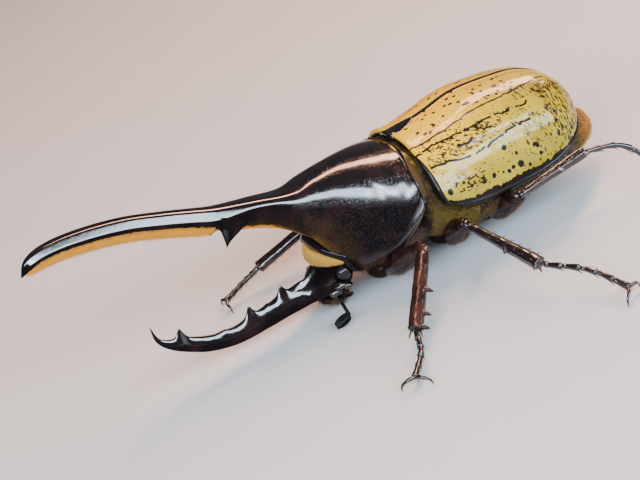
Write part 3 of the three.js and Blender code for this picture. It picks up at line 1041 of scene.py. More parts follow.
def spike(
    points: Sequence[Sequence[float]],
    root: float,
    tip: float,
    hollow: float = 1.0,
    rings: int = 14,
    around: int = 12,
) -> Array:
    """A grid over a tooth, spine or claw along a curve. Its radius is the tip's plus the rest of
    the root's times what is left of the way to a power, and it closes roundly at the end.

    Args:
        points: The curve from root to tip.
        root: Radius at the root.
        tip: Radius near the tip.
        hollow: The power: 1 for a straight cone, more for hollow sides.
        rings: Number of rings.
        around: Points on each, an even number.

    Returns:
        The points.
    """
    line = np.asarray(points, float)
    heading = unit(line[-1] - line[0])
    helper = np.array([0, 0, 1.0]) if abs(heading[2]) < 0.8 else np.array([1.0, 0, 0])
    path = Path(line, tuple(np.cross(helper, heading)))

    def girth(t: Array, a: Array) -> Array:
        """Radius at t."""
        return (tip + (root - tip) * (1 - t) ** hollow) * np.sqrt(1 - 0.996 * t**10)

    return grid_of(path.tube(girth, girth), evenly(rings), around)


def mirrored(grid: Array) -> Array:
    """The grid on the beetle's other side."""
    return grid * [-1, 1, 1]


# ---- Wing cases ---------------------------------------------------------------------------


@dataclass(frozen=True)
class WingDome:
    """The dome that the two wing cases make. u runs from 0 at the base to 1 at the apex, and v
    from 0 at the seam to 1 at the margin.

    Attributes:
        length: Base to apex.
        base_half: Half width at the base.
        half: Greatest half width.
        base_dome: Height at the base.
        dome: Greatest height.
        base_rise: How far the margin rises at the base.
        apex_rise: How far the margin rises at the apex.
    """

    length: float = 50.0
    base_half: float = 17.7
    half: float = 20.1
    base_dome: float = 16.7
    dome: float = 22.9
    base_rise: float = 3.2
    apex_rise: float = 8.0

    def sizes(self, u: Array) -> tuple[Array, Array, Array]:
        """Half width, height and margin height at u. The half width swells with a sine and closes
        with a root of one less a power. The height crests with a sine and falls with a power.

        Args:
            u: Place from base to apex.

        Returns:
            The half width, the height and the margin's height.
        """
        swell = np.sin(np.clip(u / 0.6, 0, 1) * np.pi / 2)
        crest = np.sin(np.clip(u / 0.45, 0, 1) * np.pi / 2)
        taper = np.sqrt(1 - np.clip((u - 0.6) / 0.4, 0, 1) ** 2.6)
        descent = (1 - np.clip((u - 0.45) / 0.55, 0, 1) ** 2.12) ** 0.55
        half = (self.base_half + (self.half - self.base_half) * swell) * taper
        dome = (self.base_dome + (self.dome - self.base_dome) * crest) * descent
        rise = self.base_rise * (1 - np.clip(u / 0.3, 0, 1)) ** 2
        return half, dome, rise + self.apex_rise * np.clip((u - 0.5) / 0.5, 0, 1) ** 2

    def point(self, u: Array, v: Array, inset: Array) -> Array:
        """A point of the left half: out from the seam with a sine of the turn v, up from the
        margin with its cosine, both squared a little, and the inset inwards.

        Args:
            u: Place from base to apex.
            v: Place from seam to margin.
            inset: How far inside the dome it is.

        Returns:
            The points.
        """
        half, dome, margin = self.sizes(u)
        out = np.maximum(half - inset, 0.2) * np.sin(v * np.pi / 2) ** 0.86
        up = np.maximum(dome - inset, 0.2) * np.maximum(np.cos(v * np.pi / 2), 0) ** 0.88
        return np.stack(np.broadcast_arrays(out + 0.15, self.length * u, margin + up), -1)

    def arc(self, u: Array) -> Array:
        """Length over the dome from seam to margin: a quarter of an ellipse."""
        half, dome, _ = self.sizes(u)
        return np.pi / 2 * np.sqrt((half**2 + dome**2) / 2)


@dataclass(frozen=True)
class Stroke:
    """A black mark on a wing case.

    Attributes:
        line: Places (u, v) along it, one for a round spot.
        radius: Its half width.
        broken: Share of it that is missing, for a line that is a row of blots.
    """

    line: tuple[Pair, ...]
    radius: float
    broken: float = 0.0


LONG_STROKES = (
    Stroke(((0, 0.36), (0.31, 0.335), (0.51, 0.33), (0.63, 0.31), (0.73, 0.28), (0.84, 0.235)),
           0.25, 0.1),
    Stroke(((0, 0.47), (0.09, 0.42), (0.19, 0.43), (0.26, 0.45), (0.34, 0.46), (0.47, 0.46),
            (0.52, 0.48), (0.54, 0.45), (0.61, 0.49), (0.65, 0.46)), 0.24, 0.14),
    Stroke(((0.34, 0.48), (0.36, 0.53), (0.40, 0.54)), 0.24, 0.1),
    Stroke(((0.31, 0.53), (0.27, 0.56), (0.23, 0.55), (0.20, 0.54)), 0.22, 0.2),
    Stroke(((0.04, 0.63), (0.12, 0.62), (0.20, 0.66), (0.27, 0.67), (0.35, 0.66), (0.44, 0.64),
            (0.52, 0.61), (0.61, 0.61)), 0.27, 0.1),
)
SPOTS = (
    Stroke(((0.37, 0.24), (0.39, 0.245)), 0.55), Stroke(((0.57, 0.19),), 0.5),
    Stroke(((0.52, 0.11),), 0.4), Stroke(((0.41, 0.73),), 0.55), Stroke(((0.47, 0.88),), 0.65),
    Stroke(((0.42, 0.88),), 0.4), Stroke(((0.39, 0.89),), 0.35), Stroke(((0.31, 0.87),), 0.45),
    Stroke(((0.46, 0.80),), 0.3), Stroke(((0.51, 0.91),), 0.35), Stroke(((0.59, 0.88),), 0.4),
    Stroke(((0.06, 0.88),), 0.6), Stroke(((0.575, 0.80), (0.585, 0.82)), 0.5),
    Stroke(((0.36, 0.88),), 0.22), Stroke(((0.25, 0.21),), 0.32), Stroke(((0.39, 0.01),), 0.35),
    Stroke(((0.22, 0.01),), 0.3),
)


@dataclass(frozen=True)
class Rain:
    """A shower of small dashes.

    Attributes:
        count: How many.
        u: Their stretch of u.
        v: Their stretch of v.
        length: Length of one.
        radius: Half width of one.
        heading: Their direction, in turns from along the body.
    """

    count: int
    u: Pair
    v: Pair
    length: float
    radius: float
    heading: float


SHOWERS = (
    Rain(190, (0.03, 0.40), (0.44, 0.62), 0.5, 0.085, 0.06),
    Rain(60, (0.02, 0.30), (0.34, 0.47), 0.3, 0.09, 0.1),
    Rain(60, (0.09, 0.28), (0.78, 0.90), 0.5, 0.11, 0.0),
    Rain(100, (0.60, 0.86), (0.28, 0.42), 0.8, 0.08, 0.22),
    Rain(420, (0.72, 0.985), (0.32, 0.92), 0.9, 0.085, 0.24),
    Rain(100, (0.52, 0.80), (0.56, 0.92), 0.6, 0.09, 0.2),
    Rain(60, (0.30, 0.62), (0.46, 0.60), 0.5, 0.09, 0.1),
    Rain(230, (0.02, 0.78), (0.04, 0.94), 0.12, 0.12, 0.0),
    Rain(38, (0.06, 0.66), (0.06, 0.3), 0.35, 0.27, 0.02),
)


@dataclass
class WingCases(Part):
    """The two wing cases, varnished olive shells with black marks and a rolled margin.

    Attributes:
        dome: The dome that they make.
        shell: Their thickness.
        rings: Rings of points from base to apex.
        columns: Points from seam to margin.
        blur: Width over which a mark's edge fades.
        corner: How far the front corners are drawn back.
    """

    dome: WingDome = WingDome()
    shell: float = 1.1
    rings: int = 270
    columns: int = 132
    blur: float = 0.4
    corner: float = 2.6

    def relief(self, u: Array, v: Array) -> Array:
        """How far the outer face stands out: bells for the shoulder, the full sides and the rear
        bump, a groove beside the seam, a bead along the margin, and faint rows from base to
        apex.

        Args:
            u: Place from base to apex.
            v: Place from seam to margin.

        Returns:
            The relief in millimetres.
        """
        shoulder = 0.9 * hump(np.hypot((u - 0.08) / 0.1, (v - 0.93) / 0.12))
        shoulder = shoulder + 0.7 * hump((v - 0.92) / 0.2) * fall(0.35, 0.65, u)
        rear = 0.35 * hump(np.hypot((u - 0.86) / 0.06, (v - 0.42) / 0.12))
        seam = 0.12 * hump((v - 0.004) / 0.012) - 0.12 * hump((v - 0.03) / 0.012)
        fade = blend(0.0, 0.1, u) * fall(0.8, 0.95, u)
        bead = 0.28 * hump((v - 0.988) / 0.011) - 0.12 * hump((v - 0.966) / 0.01)
        bead = bead + 0.3 * hump((u - 0.012) / 0.008) - 0.15 * hump((u - 0.033) / 0.008)
        rows = 0.02 * np.cos(2 * np.pi * v * 11) * fade
        ripple = 0.1 * speckle(u * 50, v * 33, 6.0, 11) + 0.04 * speckle(u * 50, v * 33, 2.0, 12)
        return shoulder + rear + seam + bead + rows + ripple - 0.1

    def steps_along(self) -> Array:
        """Places of the rings: close together over the rounded front edge, then gathered towards
        the apex by a power."""
        far = 1 - (1 - evenly(self.rings)) ** 1.6
        return np.concatenate([[0, 0.0006, 0.002, 0.004, 0.007], 0.01 + (0.996 - 0.01) * far])

    def marks(self, rng: Chance) -> Array:
        """Every mark as capsules: rows of start (u, v), end (u, v), half width at each end.

        Args:
            rng: Source of chance.

        Returns:
            The rows.
        """
        rows = []
        for stroke in LONG_STROKES + SPOTS:
            line = np.array(stroke.line, float)
            if len(line) == 1:
                line = np.repeat(line, 2, 0) + rng.normal(0, 0.002, (2, 2))
            count = 2 + int(18 * np.abs(np.diff(line, axis=0)).sum() * (stroke.broken > 0))
            at = evenly(count * 2)
            steps = evenly(len(line))
            spots = np.stack([np.interp(at, steps, line[:, k]) for k in range(2)], -1)
            spots += rng.normal(0, 0.004, spots.shape) * (stroke.broken > 0)
            girth = stroke.radius * rng.uniform(0.7, 1.35, len(at))
            keep = rng.uniform(0, 1, len(at) - 1) >= stroke.broken
            rows.append(np.column_stack([spots[:-1], spots[1:], girth[:-1], girth[1:]])[keep])
        for rain in SHOWERS:
            along, out = rng.uniform(*rain.u, rain.count), rng.uniform(*rain.v, rain.count)
            start = np.stack([along, out], -1)
            turn = 2 * np.pi * (rain.heading + rng.normal(0, 0.04, rain.count))
            reach = rain.length * rng.uniform(0.4, 1.3, rain.count)
            step = np.stack([np.cos(turn) / 50, np.sin(turn) / 30], -1) * reach[:, None]
            girth = rain.radius * rng.uniform(0.7, 1.6, (rain.count, 2))
            rows.append(np.column_stack([start, start + step, girth]))
        return np.concatenate(rows)

    def ink(self, u: Array, v: Array, rng: Chance) -> Array:
        """How black each place is: a half, plus how deep it is inside the nearest mark over the
        blur. The marks are capsules in the plane of length along and length round the dome. The
        bands along margin, base and seam are added the same way.

        Args:
            u: Place from base to apex.
            v: Place from seam to margin.
            rng: Source of chance.

        Returns:
            The ink, a half at the edge of a mark.
        """
        arc = self.dome.arc(u)
        s, w = u * self.dome.length, v * arc
        best = np.full(u.shape, -9.0)
        for u0, v0, u1, v1, r0, r1 in self.marks(rng):
            start = np.array([u0 * self.dome.length, v0 * self.dome.arc(np.array(u0))])
            reach = np.array([u1 * self.dome.length, v1 * self.dome.arc(np.array(u1))]) - start
            share = (s - start[0]) * reach[0] + (w - start[1]) * reach[1]
            share = np.clip(share / (reach @ reach + 1e-9), 0, 1)
            away = np.hypot(s - start[0] - share * reach[0], w - start[1] - share * reach[1])
            best = np.maximum(best, r0 + (r1 - r0) * share - away)
        saw = 0.5 * speckle(s, s * 0, 1.1, 21) + 0.35 * speckle(s, s * 0, 0.45, 22)
        margin = 1.25 + 0.8 * hump((u - 0.42) / 0.26) + 0.3 * blend(0.85, 1, u) + saw * 0.7
        best = np.maximum(best, margin - (arc - w))
        best = np.maximum(best, 1.6 * blend(0.35, 0.8, v) - 0.2 - s)
        best = np.maximum(best, 0.4 - w)
        return 0.5 + best / self.blur

    def flush(self, u: Array, v: Array) -> Array:
        """How golden each place is, partly the cuticle's own gold and partly painted warm light:
        most at the front and over the middle, none at the sides and the rear."""
        # Painted warm light mixed with real gold: golden towards the front and the top
        front, top = fall(0.02, 0.75, u), fall(0.35, 0.95, v)
        return np.clip(0.15 + 0.95 * front * top + 0.3 * hump(v / 0.2), 0, 1)

    def build_side(self, side: Side) -> None:
        """One wing case: outer columns from seam to margin and inner ones back, in one tube.

        Args:
            side: Which of the two.
        """
        rng = np.random.default_rng(40 + side.value)
        u = self.steps_along()[:, None]
        t = evenly(self.columns)
        v = (t * (1.06 - 0.06 * t))[None, :]
        s = u * self.dome.length
        roll = 0.5 * (1 - np.sqrt(np.clip(1 - (1 - np.clip(s / 0.5, 0, 1)) ** 2, 0, 1)))
        lip = 0.3 * blend(0.985, 1, v)
        outer = self.dome.point(u, v, roll + lip - self.relief(u, v) * blend(0, 0.6, s))
        inner = self.dome.point(u, v[:, ::-1], self.shell - roll + 0 * v)
        grid = np.concatenate([outer, inner], 1)
        corner = np.concatenate([v, v[:, ::-1]], 1)
        pull = 1 - np.sqrt(np.clip(1 - np.clip((corner - 0.84) / 0.16, 0, 1) ** 2, 0, 1))
        grid[..., 1] += self.corner * pull * fall(0, 0.12, u)
        full = [np.broadcast_to(x, outer.shape[:2]) for x in (u, v)]
        inside = np.broadcast_to(0.36 + 1.6 * blend(0.4, 0.6, v[:, ::-1]), outer.shape[:2])
        ink = np.concatenate([self.ink(*full, rng), inside], 1)
        flush = np.concatenate([self.flush(*full), inside * 0], 1)
        if side is Side.RIGHT:
            grid = mirrored(grid)
        piece = Piece(f"wing_case_{side.word}").add(grid, ink=ink, flush=flush)
        self.show(piece, WingCaseShell(), Slot.WING_CASE, f"elytron_{side.word}")

    def build(self) -> None:
        """Both wing cases."""
        for side in Side:
            self.build_side(side)


@dataclass
class WingShield(Part):
    """The small triangular plate between the bases of the wing cases.

    Attributes:
        dome: The wing cases' dome, which it follows.
        front: Place y of its front edge.
        rear: Place y of its tip.
        half: Half width at the front.
        thick: Its thickness.
    """

    dome: WingDome = WingDome()
    front: float = -0.4
    rear: float = 7.6
    half: float = 3.2
    thick: float = 1.6

    def build(self) -> None:
        """The plate: each ring spans a half width that closes with a power of t. Its top follows
        the dome with a low crown, and its underside is a thickness below."""

        def surface(t: Array, a: Array) -> Array:
            """A point: sideways with a sine, up and down with a cosine.

            Args:
                t: Place along it.
                a: Turn around it.

            Returns:
                The points.
            """
            t, a = paired(t, a)
            y = self.front + (self.rear - self.front) * t
            half = self.half * np.sqrt(np.clip(1 - t**1.4, 0, 1)) + 0.2
            sine, cosine = np.sin(2 * np.pi * a), np.cos(2 * np.pi * a)
            x = half * power(sine, 0.9)
            u = np.clip(y / self.dome.length, 0, 1)
            _, height, margin = self.dome.sizes(u)
            level = margin + height + 0.25 - 0.45 * (x / self.half) ** 2
            dent = 0.18 * hump(np.hypot(x / 2.2, (y - 2.2) / 1.6)) * (cosine > 0)
            z = level - 0.5 + np.where(cosine > 0, 0.5, self.thick - 0.5) * power(cosine, 0.5)
            return np.stack([x, y, z - dent], -1)

        grid = grid_of(surface, evenly(60), 72)
        piece = Piece("wing_shield").add(grid, grain=0.25)
        self.show(piece, BlackShell(), Slot.BLACK, "scutellum")


# ---- Horned shield ------------------------------------------------------------------------


@dataclass
class HornedShield(Part):
    """The great front shield and the long horn that grows from it, as one shell, with the two
    side teeth, the velvet under the horn and the brush below its front edge.

    Attributes:
        stations: Rings of the shield: place from 0 to 1, ridge (y, z), edge (x, y, z) and keel
            (y, z).
        line: Middle line of the horn as (y, z).
        half_width: Half width along the horn.
        half_depth: Half depth along the horn.
        pile: Depth of the velvet along the horn.
        low_edge: Turn of the shell's lower edge, along which a glow is painted as if light shone
            through the thin shell, from the side edges to the horn's underside.
        flat: How much of the horn's reach its flat sides take away.
        around: Points round each ring.
        velvet_hairs: Number of hairs in the velvet.
        fringe_hairs: Number of hairs behind the side teeth.
        brush_hairs: Number of hairs in the brush.
    """

    stations: tuple[tuple[float, ...], ...] = (
        (0, -0.8, 17.9, 17.9, -3.9, 7.0, -3.9, 6.6),
        (0.13, -4, 18.9, 18.4, -5, 4.4, -5, 3),
        (0.3, -9, 19.7, 17.5, -7.8, 1, -8, 0),
        (0.48, -15, 20.1, 15.1, -12, -2.9, -12, -3),
        (0.66, -21, 19.8, 12.2, -17, -4.2, -17, -3.5),
        (0.8, -25, 19.2, 9.8, -21.8, -5.3, -21.5, -2),
        (0.89, -27.3, 18.8, 8.4, -25.8, -0.4, -26, 1.6),
        (0.95, -28.8, 18.1, 7.0, -30, 4.6, -29, 5.6),
        (1, -29.8, 17.6, 5.4, -31.8, 13.4, -33.8, 9.2),
    )
    line: tuple[Pair, ...] = (
        (-32.1, 13.5), (-38, 15.8), (-44, 17.55), (-50, 19.4), (-56, 21.9), (-63, 24.5),
        (-71, 27.1), (-80, 28.9), (-88, 29.6), (-93.6, 28.8), (-97.1, 26.2),
    )
    half_width: Stations = (
        (0, 5.3), (0.1, 4.3), (0.27, 3.65), (0.5, 3), (0.8, 2.4), (0.93, 1.6), (1, 0.2),
    )
    half_depth: Stations = (
        (0, 4.4), (0.1, 3.75), (0.27, 3.1), (0.4, 2.6), (0.8, 2), (0.93, 1.4), (1, 0.2),
    )
    pile: Stations = ((0, 0.6), (0.25, 0.8), (0.34, 2.1), (0.8, 2.2), (0.93, 1.5), (1, 0.6))
    low_edge: Stations = (
        (0.7, 0.249), (0.95, 0.25), (0.984, 0.328), (1.027, 0.343), (1.08, 0.357), (1.3, 0.365),
    )
    flat: Stations = ((0, -0.2), (0.13, -0.14), (0.2, -0.05), (0.27, 0.04), (0.35, 0.1), (1, 0.12))
    around: int = 184
    velvet_hairs: int = 15000
    fringe_hairs: int = 2600
    brush_hairs: int = 7000

    def shield_surface(self, t: Array, a: Array) -> Array:
        """A point of the shield: its edge, moved to the ridge or the keel with the cosine of the
        turn a, and sideways with its sine, both squared a little, and more towards the horn.

        Args:
            t: Place along it.
            a: Turn around it.

        Returns:
            The points.
        """
        t, a = paired(t, a)
        table = np.array(self.stations)
        ridge_y, ridge_z, edge_x, edge_y, edge_z, keel_y, keel_z = (
            through(list(zip(table[:, 0], table[:, k])), t) for k in range(1, 8)
        )
        sine, cosine = np.sin(2 * np.pi * a), np.cos(2 * np.pi * a)
        square = 0.38 * blend(0.5, 1.04, t)
        share = np.abs(cosine) ** (0.95 - square)
        over = cosine > 0
        y = edge_y + (np.where(over, ridge_y, keel_y) - edge_y) * share
        z = edge_z + (np.where(over, ridge_z, keel_z) - edge_z) * share
        return np.stack([edge_x * power(sine, 0.92 - square), y, z], -1)

    @property
    def horn_path(self) -> Path:
        """The horn's middle line."""
        return Path(np.array([(0.0, y, z) for y, z in self.line]))

    def horn_surface(self, t: Array, a: Array) -> Array:
        """A point of the horn: an ellipse across its middle line, flattened on both sides by a
        plane that looks outwards and up.

        Args:
            t: Place along it.
            a: Turn around it.

        Returns:
            The points.
        """
        width = lambda t, a: through(self.half_width, t)
        depth = lambda t, a: through(self.half_depth, t)
        square = through(((0, 0.5), (0.12, 0.62), (0.28, 0.9), (0.4, 1), (1, 1)), t)
        points = self.horn_path.tube(width, depth, square)(t, a)
        _, side, up = self.horn_path.axes(np.broadcast_to(t, points.shape[:-1]))
        from_middle = points - self.horn_path.at(np.broadcast_to(t, points.shape[:-1]))
        for sign in (1, -1):
            facing = side * (sign * 0.87) + up * 0.49
            reach = np.hypot(0.87 * width(t, a), 0.49 * depth(t, a))
            over = (from_middle * facing).sum(-1) - reach * (1 - through(self.flat, t))
            points = points - facing * (0.05 * np.logaddexp(0, over / 0.05))[..., None]
        return points

    @property
    def lip_path(self) -> Path:
        """The middle line of the rolled lip round the front opening, from left to right.

        Returns:
            The path.
        """
        half = np.array(
            [(8.8, -20.6, -6.8), (9.1, -22.5, -5.4), (8.9, -23.4, -3.7), (8.5, -24.0, -1.95),
             (7.9, -25.1, -0.95), (7.0, -26.2, 0.1), (5.9, -27.1, 0.95), (4.5, -27.8, 1.8),
             (2.8, -28.2, 2.6), (0.9, -28.3, 3.0)]
        )
        return Path(np.concatenate([half, half[::-1] * [-1, 1, 1]]), (0.0, -0.6, 0.8))

    def build_shell(self) -> None:
        """Shield and horn in one tube, smoothed over the join, with a rolled rear rim, a bead
        along the side edges, a lip round the front opening, and pits and faint dents. The rear
        rim is drawn forwards between the ridge and the edges."""
        t_shield = np.concatenate([[0, 0.0015, 0.004], np.linspace(0.008, 1, 190)])
        t_horn = np.linspace(0.02, 1, 300)
        shield = grid_of(self.shield_surface, t_shield, self.around)
        horn = grid_of(self.horn_surface, t_horn, self.around)
        grid = np.concatenate([shield, horn])
        a = (np.arange(self.around) / self.around)[None, :]
        t = np.concatenate([t_shield, 1 + t_horn])[:, None]
        turn = from_top(a)
        grid[..., 1] -= 1.4 * hump((turn - 0.15) / 0.055) * fall(0, 0.22, t)
        join = slice(len(t_shield) - 80, len(t_shield) + 60)
        share = hump(np.linspace(-1.3, 1.3, 140) ** 5)[:, None, None]
        grid[join] += (settle(grid[join].copy(), 200) - grid[join]) * share
        normal = normals_of(grid)
        x, y, z = grid[..., 0], grid[..., 1], grid[..., 2]
        rim = 0.42 * hump((t - 0.02) / 0.011) - 0.25 * hump((t - 0.045) / 0.012)
        rim = rim * fall(0.24, 0.3, turn)
        bead = 0.55 * hump((turn - 0.246) / 0.012) - 0.3 * hump((turn - 0.22) / 0.011)
        bead = bead * fall(0.78, 0.88, t) * blend(0.0, 0.02, t)
        across, back = np.abs(x) - 12.0, y + 12.4
        dent = 0.16 * hump(np.hypot(across / 2.0, (back - 0.5 * across) / 0.8))
        dent = dent + 0.14 * hump(np.hypot((np.abs(x) - 16.0) / 0.9, (y + 6.8) / 1.1))
        dent = dent * (z > 6)
        waves = 0.03 * speckle(x + y, z + 40, 5.0, 31) * fall(0.9, 1.2, t)
        roll = 0.6 * fall(0, 0.012, t)
        out = rim + bead - dent + waves - roll
        grid = grid + normal * (out - 0.08)[..., None]
        lip = self.lip_path
        # Painted glow: amber colour for light shining through the thin lower edges of shield and
        # horn
        inside = through(self.low_edge, t) - turn
        on_horn = blend(0.94, 1.02, t)
        edge = inside / (0.006 + 0.03 * on_horn)
        glow = 0.36 * blend(0.83, 0.96, t) * fall(0.0, 1.0, edge)
        glow = glow + 0.09 * fall(0.02, 0.09, inside * (1 - 0.3 * on_horn))
        glow = glow * blend(0.66, 0.8, t) * fall(1.18, 1.26, t) * blend(-0.1, -0.04, inside)
        side = (0.12 + blend(0.1, 0.2, turn)) * fall(0.9, 1.06, t)
        line = hump((turn - 0.248) / (0.013 - 0.01 * blend(0.3, 0.55, t)))
        line = line * fall(0.75, 0.8, t)
        dull = fall(0.2, 0.34, normal[..., 2]) * (1 - line)
        piece = Piece("horned_shield").add(
            grid, amber=glow, grain=np.clip(side + 0.04, 0, 1), dull=dull,
        )
        for sign in (1, -1):
            line = [(2.6, -46.9, 18.4), (3.6, -47.9, 16.4), (4.7, -49.5, 14.4), (5.6, -50.6, 13.1)]
            path = Path(np.array(line) * [sign, 1, 1], (0.0, 1.0, 0.0))
            wide = lambda t, a: 6.0 * (1 - t) ** 2.2 + 0.5 * np.sqrt(1 - t) + 0.04
            deep = lambda t, a: 1.0 * (1 - t) + 0.3 * np.sqrt(1 - t) + 0.04
            piece.add(grid_of(path.tube(wide, deep), np.linspace(0, 0.998, 40), 40), grain=0.05,
                      dull=1.0)
        thick = lambda t, a: 0.3 + 0.85 * blend(0, 0.12, t) * fall(0.88, 1, t)
        tall = lambda t, a: 0.7 * thick(t, a) + 0.75 * hump((t - 0.5) / 0.24)
        piece.add(grid_of(lip.tube(thick, tall),
                          evenly(160), 32), grain=0.05, dull=0.85)
        self.show(piece, BlackShell(), Slot.BLACK, "pronotum", "thoracic_horn")

    def build_velvet(self) -> None:
        """The velvet: hairs under the horn in front of its side teeth, that lie towards the tip
        and hang down, and a short fringe behind them."""
        rng = np.random.default_rng(51)
        ahead = lambda p: np.array([0, -1.0, 0.0]) + 0 * p

        def pile(t: Array, a: Array) -> Array:
            """Thick over the underside in front of the teeth, thinning at its edges."""
            depth = through(self.pile, t) / 2.2
            return blend(0.32, 0.39, from_top(a)) * depth**2 * blend(0.285, 0.32, t)

        def fringe(t: Array, a: Array) -> Array:
            """Only on the lower edge between the teeth and the shield."""
            return blend(0.335, 0.37, from_top(a)) * fall(0.25, 0.29, t)

        skin = self.horn_surface
        roots = scatter(skin, self.velvet_hairs, rng, pile, ahead, (0.27, 0.965), (0.25, 0.75))
        coat = Coat("horn_velvet_hair", 2.1, 0.12, 0.42, (0, -0.1, -0.22), 0.14)
        self.grow(coat, roots, rng, VELVET_HAIR, Slot.VELVET, "horn_velvet")
        roots = scatter(skin, self.fringe_hairs, rng, fringe, ahead, (0.0, 0.29), (0.3, 0.7))
        coat = Coat("horn_fringe_hair", 0.6, 0.09, 0.25, (0, -0.1, -0.1), 0.2)
        self.grow(coat, roots, rng, VELVET_HAIR, Slot.VELVET)

    def brush_surface(self, t: Array, a: Array) -> Array:
        """The strip of skin under the shield's front edge, a low tube round an arc: sideways with
        a sine, forwards and up with a cosine.

        Args:
            t: Place along it.
            a: Turn around it.

        Returns:
            The points.
        """
        t, a = paired(t, a)
        turn = (2 * t - 1) * np.pi / 2
        cosine = np.cos(turn)
        ahead = np.maximum(cosine, 0) ** 1.6
        middle = np.stack([8.3 * np.sin(turn), -24.6 - 4.7 * ahead, -2.9 + 2.2 * cosine], -1)
        out = unit(np.stack([np.sin(turn), -cosine, 0 * turn], -1))
        round_ = np.stack([np.cos(2 * np.pi * a), np.sin(2 * np.pi * a)], -1)
        tall = 0.2 + 1.5 * np.maximum(cosine, 0) ** 1.2
        girth = np.stack([0.2 + 0.6 * np.maximum(cosine, 0) ** 0.7, tall], -1) * round_
        return middle + out * girth[..., :1] + np.array([0, 0.2, 0.98]) * girth[..., 1:]

    def build_brush(self) -> None:
        """The golden brush: silky hairs from the strip, forwards and down over the head."""
        rng = np.random.default_rng(52)
        roots = scatter(
            self.brush_surface, self.brush_hairs, rng,
            lambda t, a: np.abs(np.sin(np.pi * t)) ** 0.8 + 0 * a,
            lambda p: np.array([0, -0.35, -0.95]) + p * [0.02, 0, 0],
        )
        coat = Coat("neck_brush_hair", 1.3, 0.09, 0.16, (0, 0.05, -0.05), 0.1)
        self.grow(coat, roots, rng, BRUSH_HAIR, Slot.BRUSH, "neck_brush")
        strip = grid_of(self.brush_surface, np.linspace(0.01, 0.99, 60), 24)
        skin = Membrane("brush_skin", (0.3, 0.16, 0.03), (0.45, 0.27, 0.05))
        self.show(Piece("neck_skin").add(strip), skin, Slot.BRUSH)

    def build(self) -> None:
        """Shell, velvet and brush."""
        self.build_shell()
        self.build_velvet()
        self.build_brush()


# ---- Head ---------------------------------------------------------------------------------


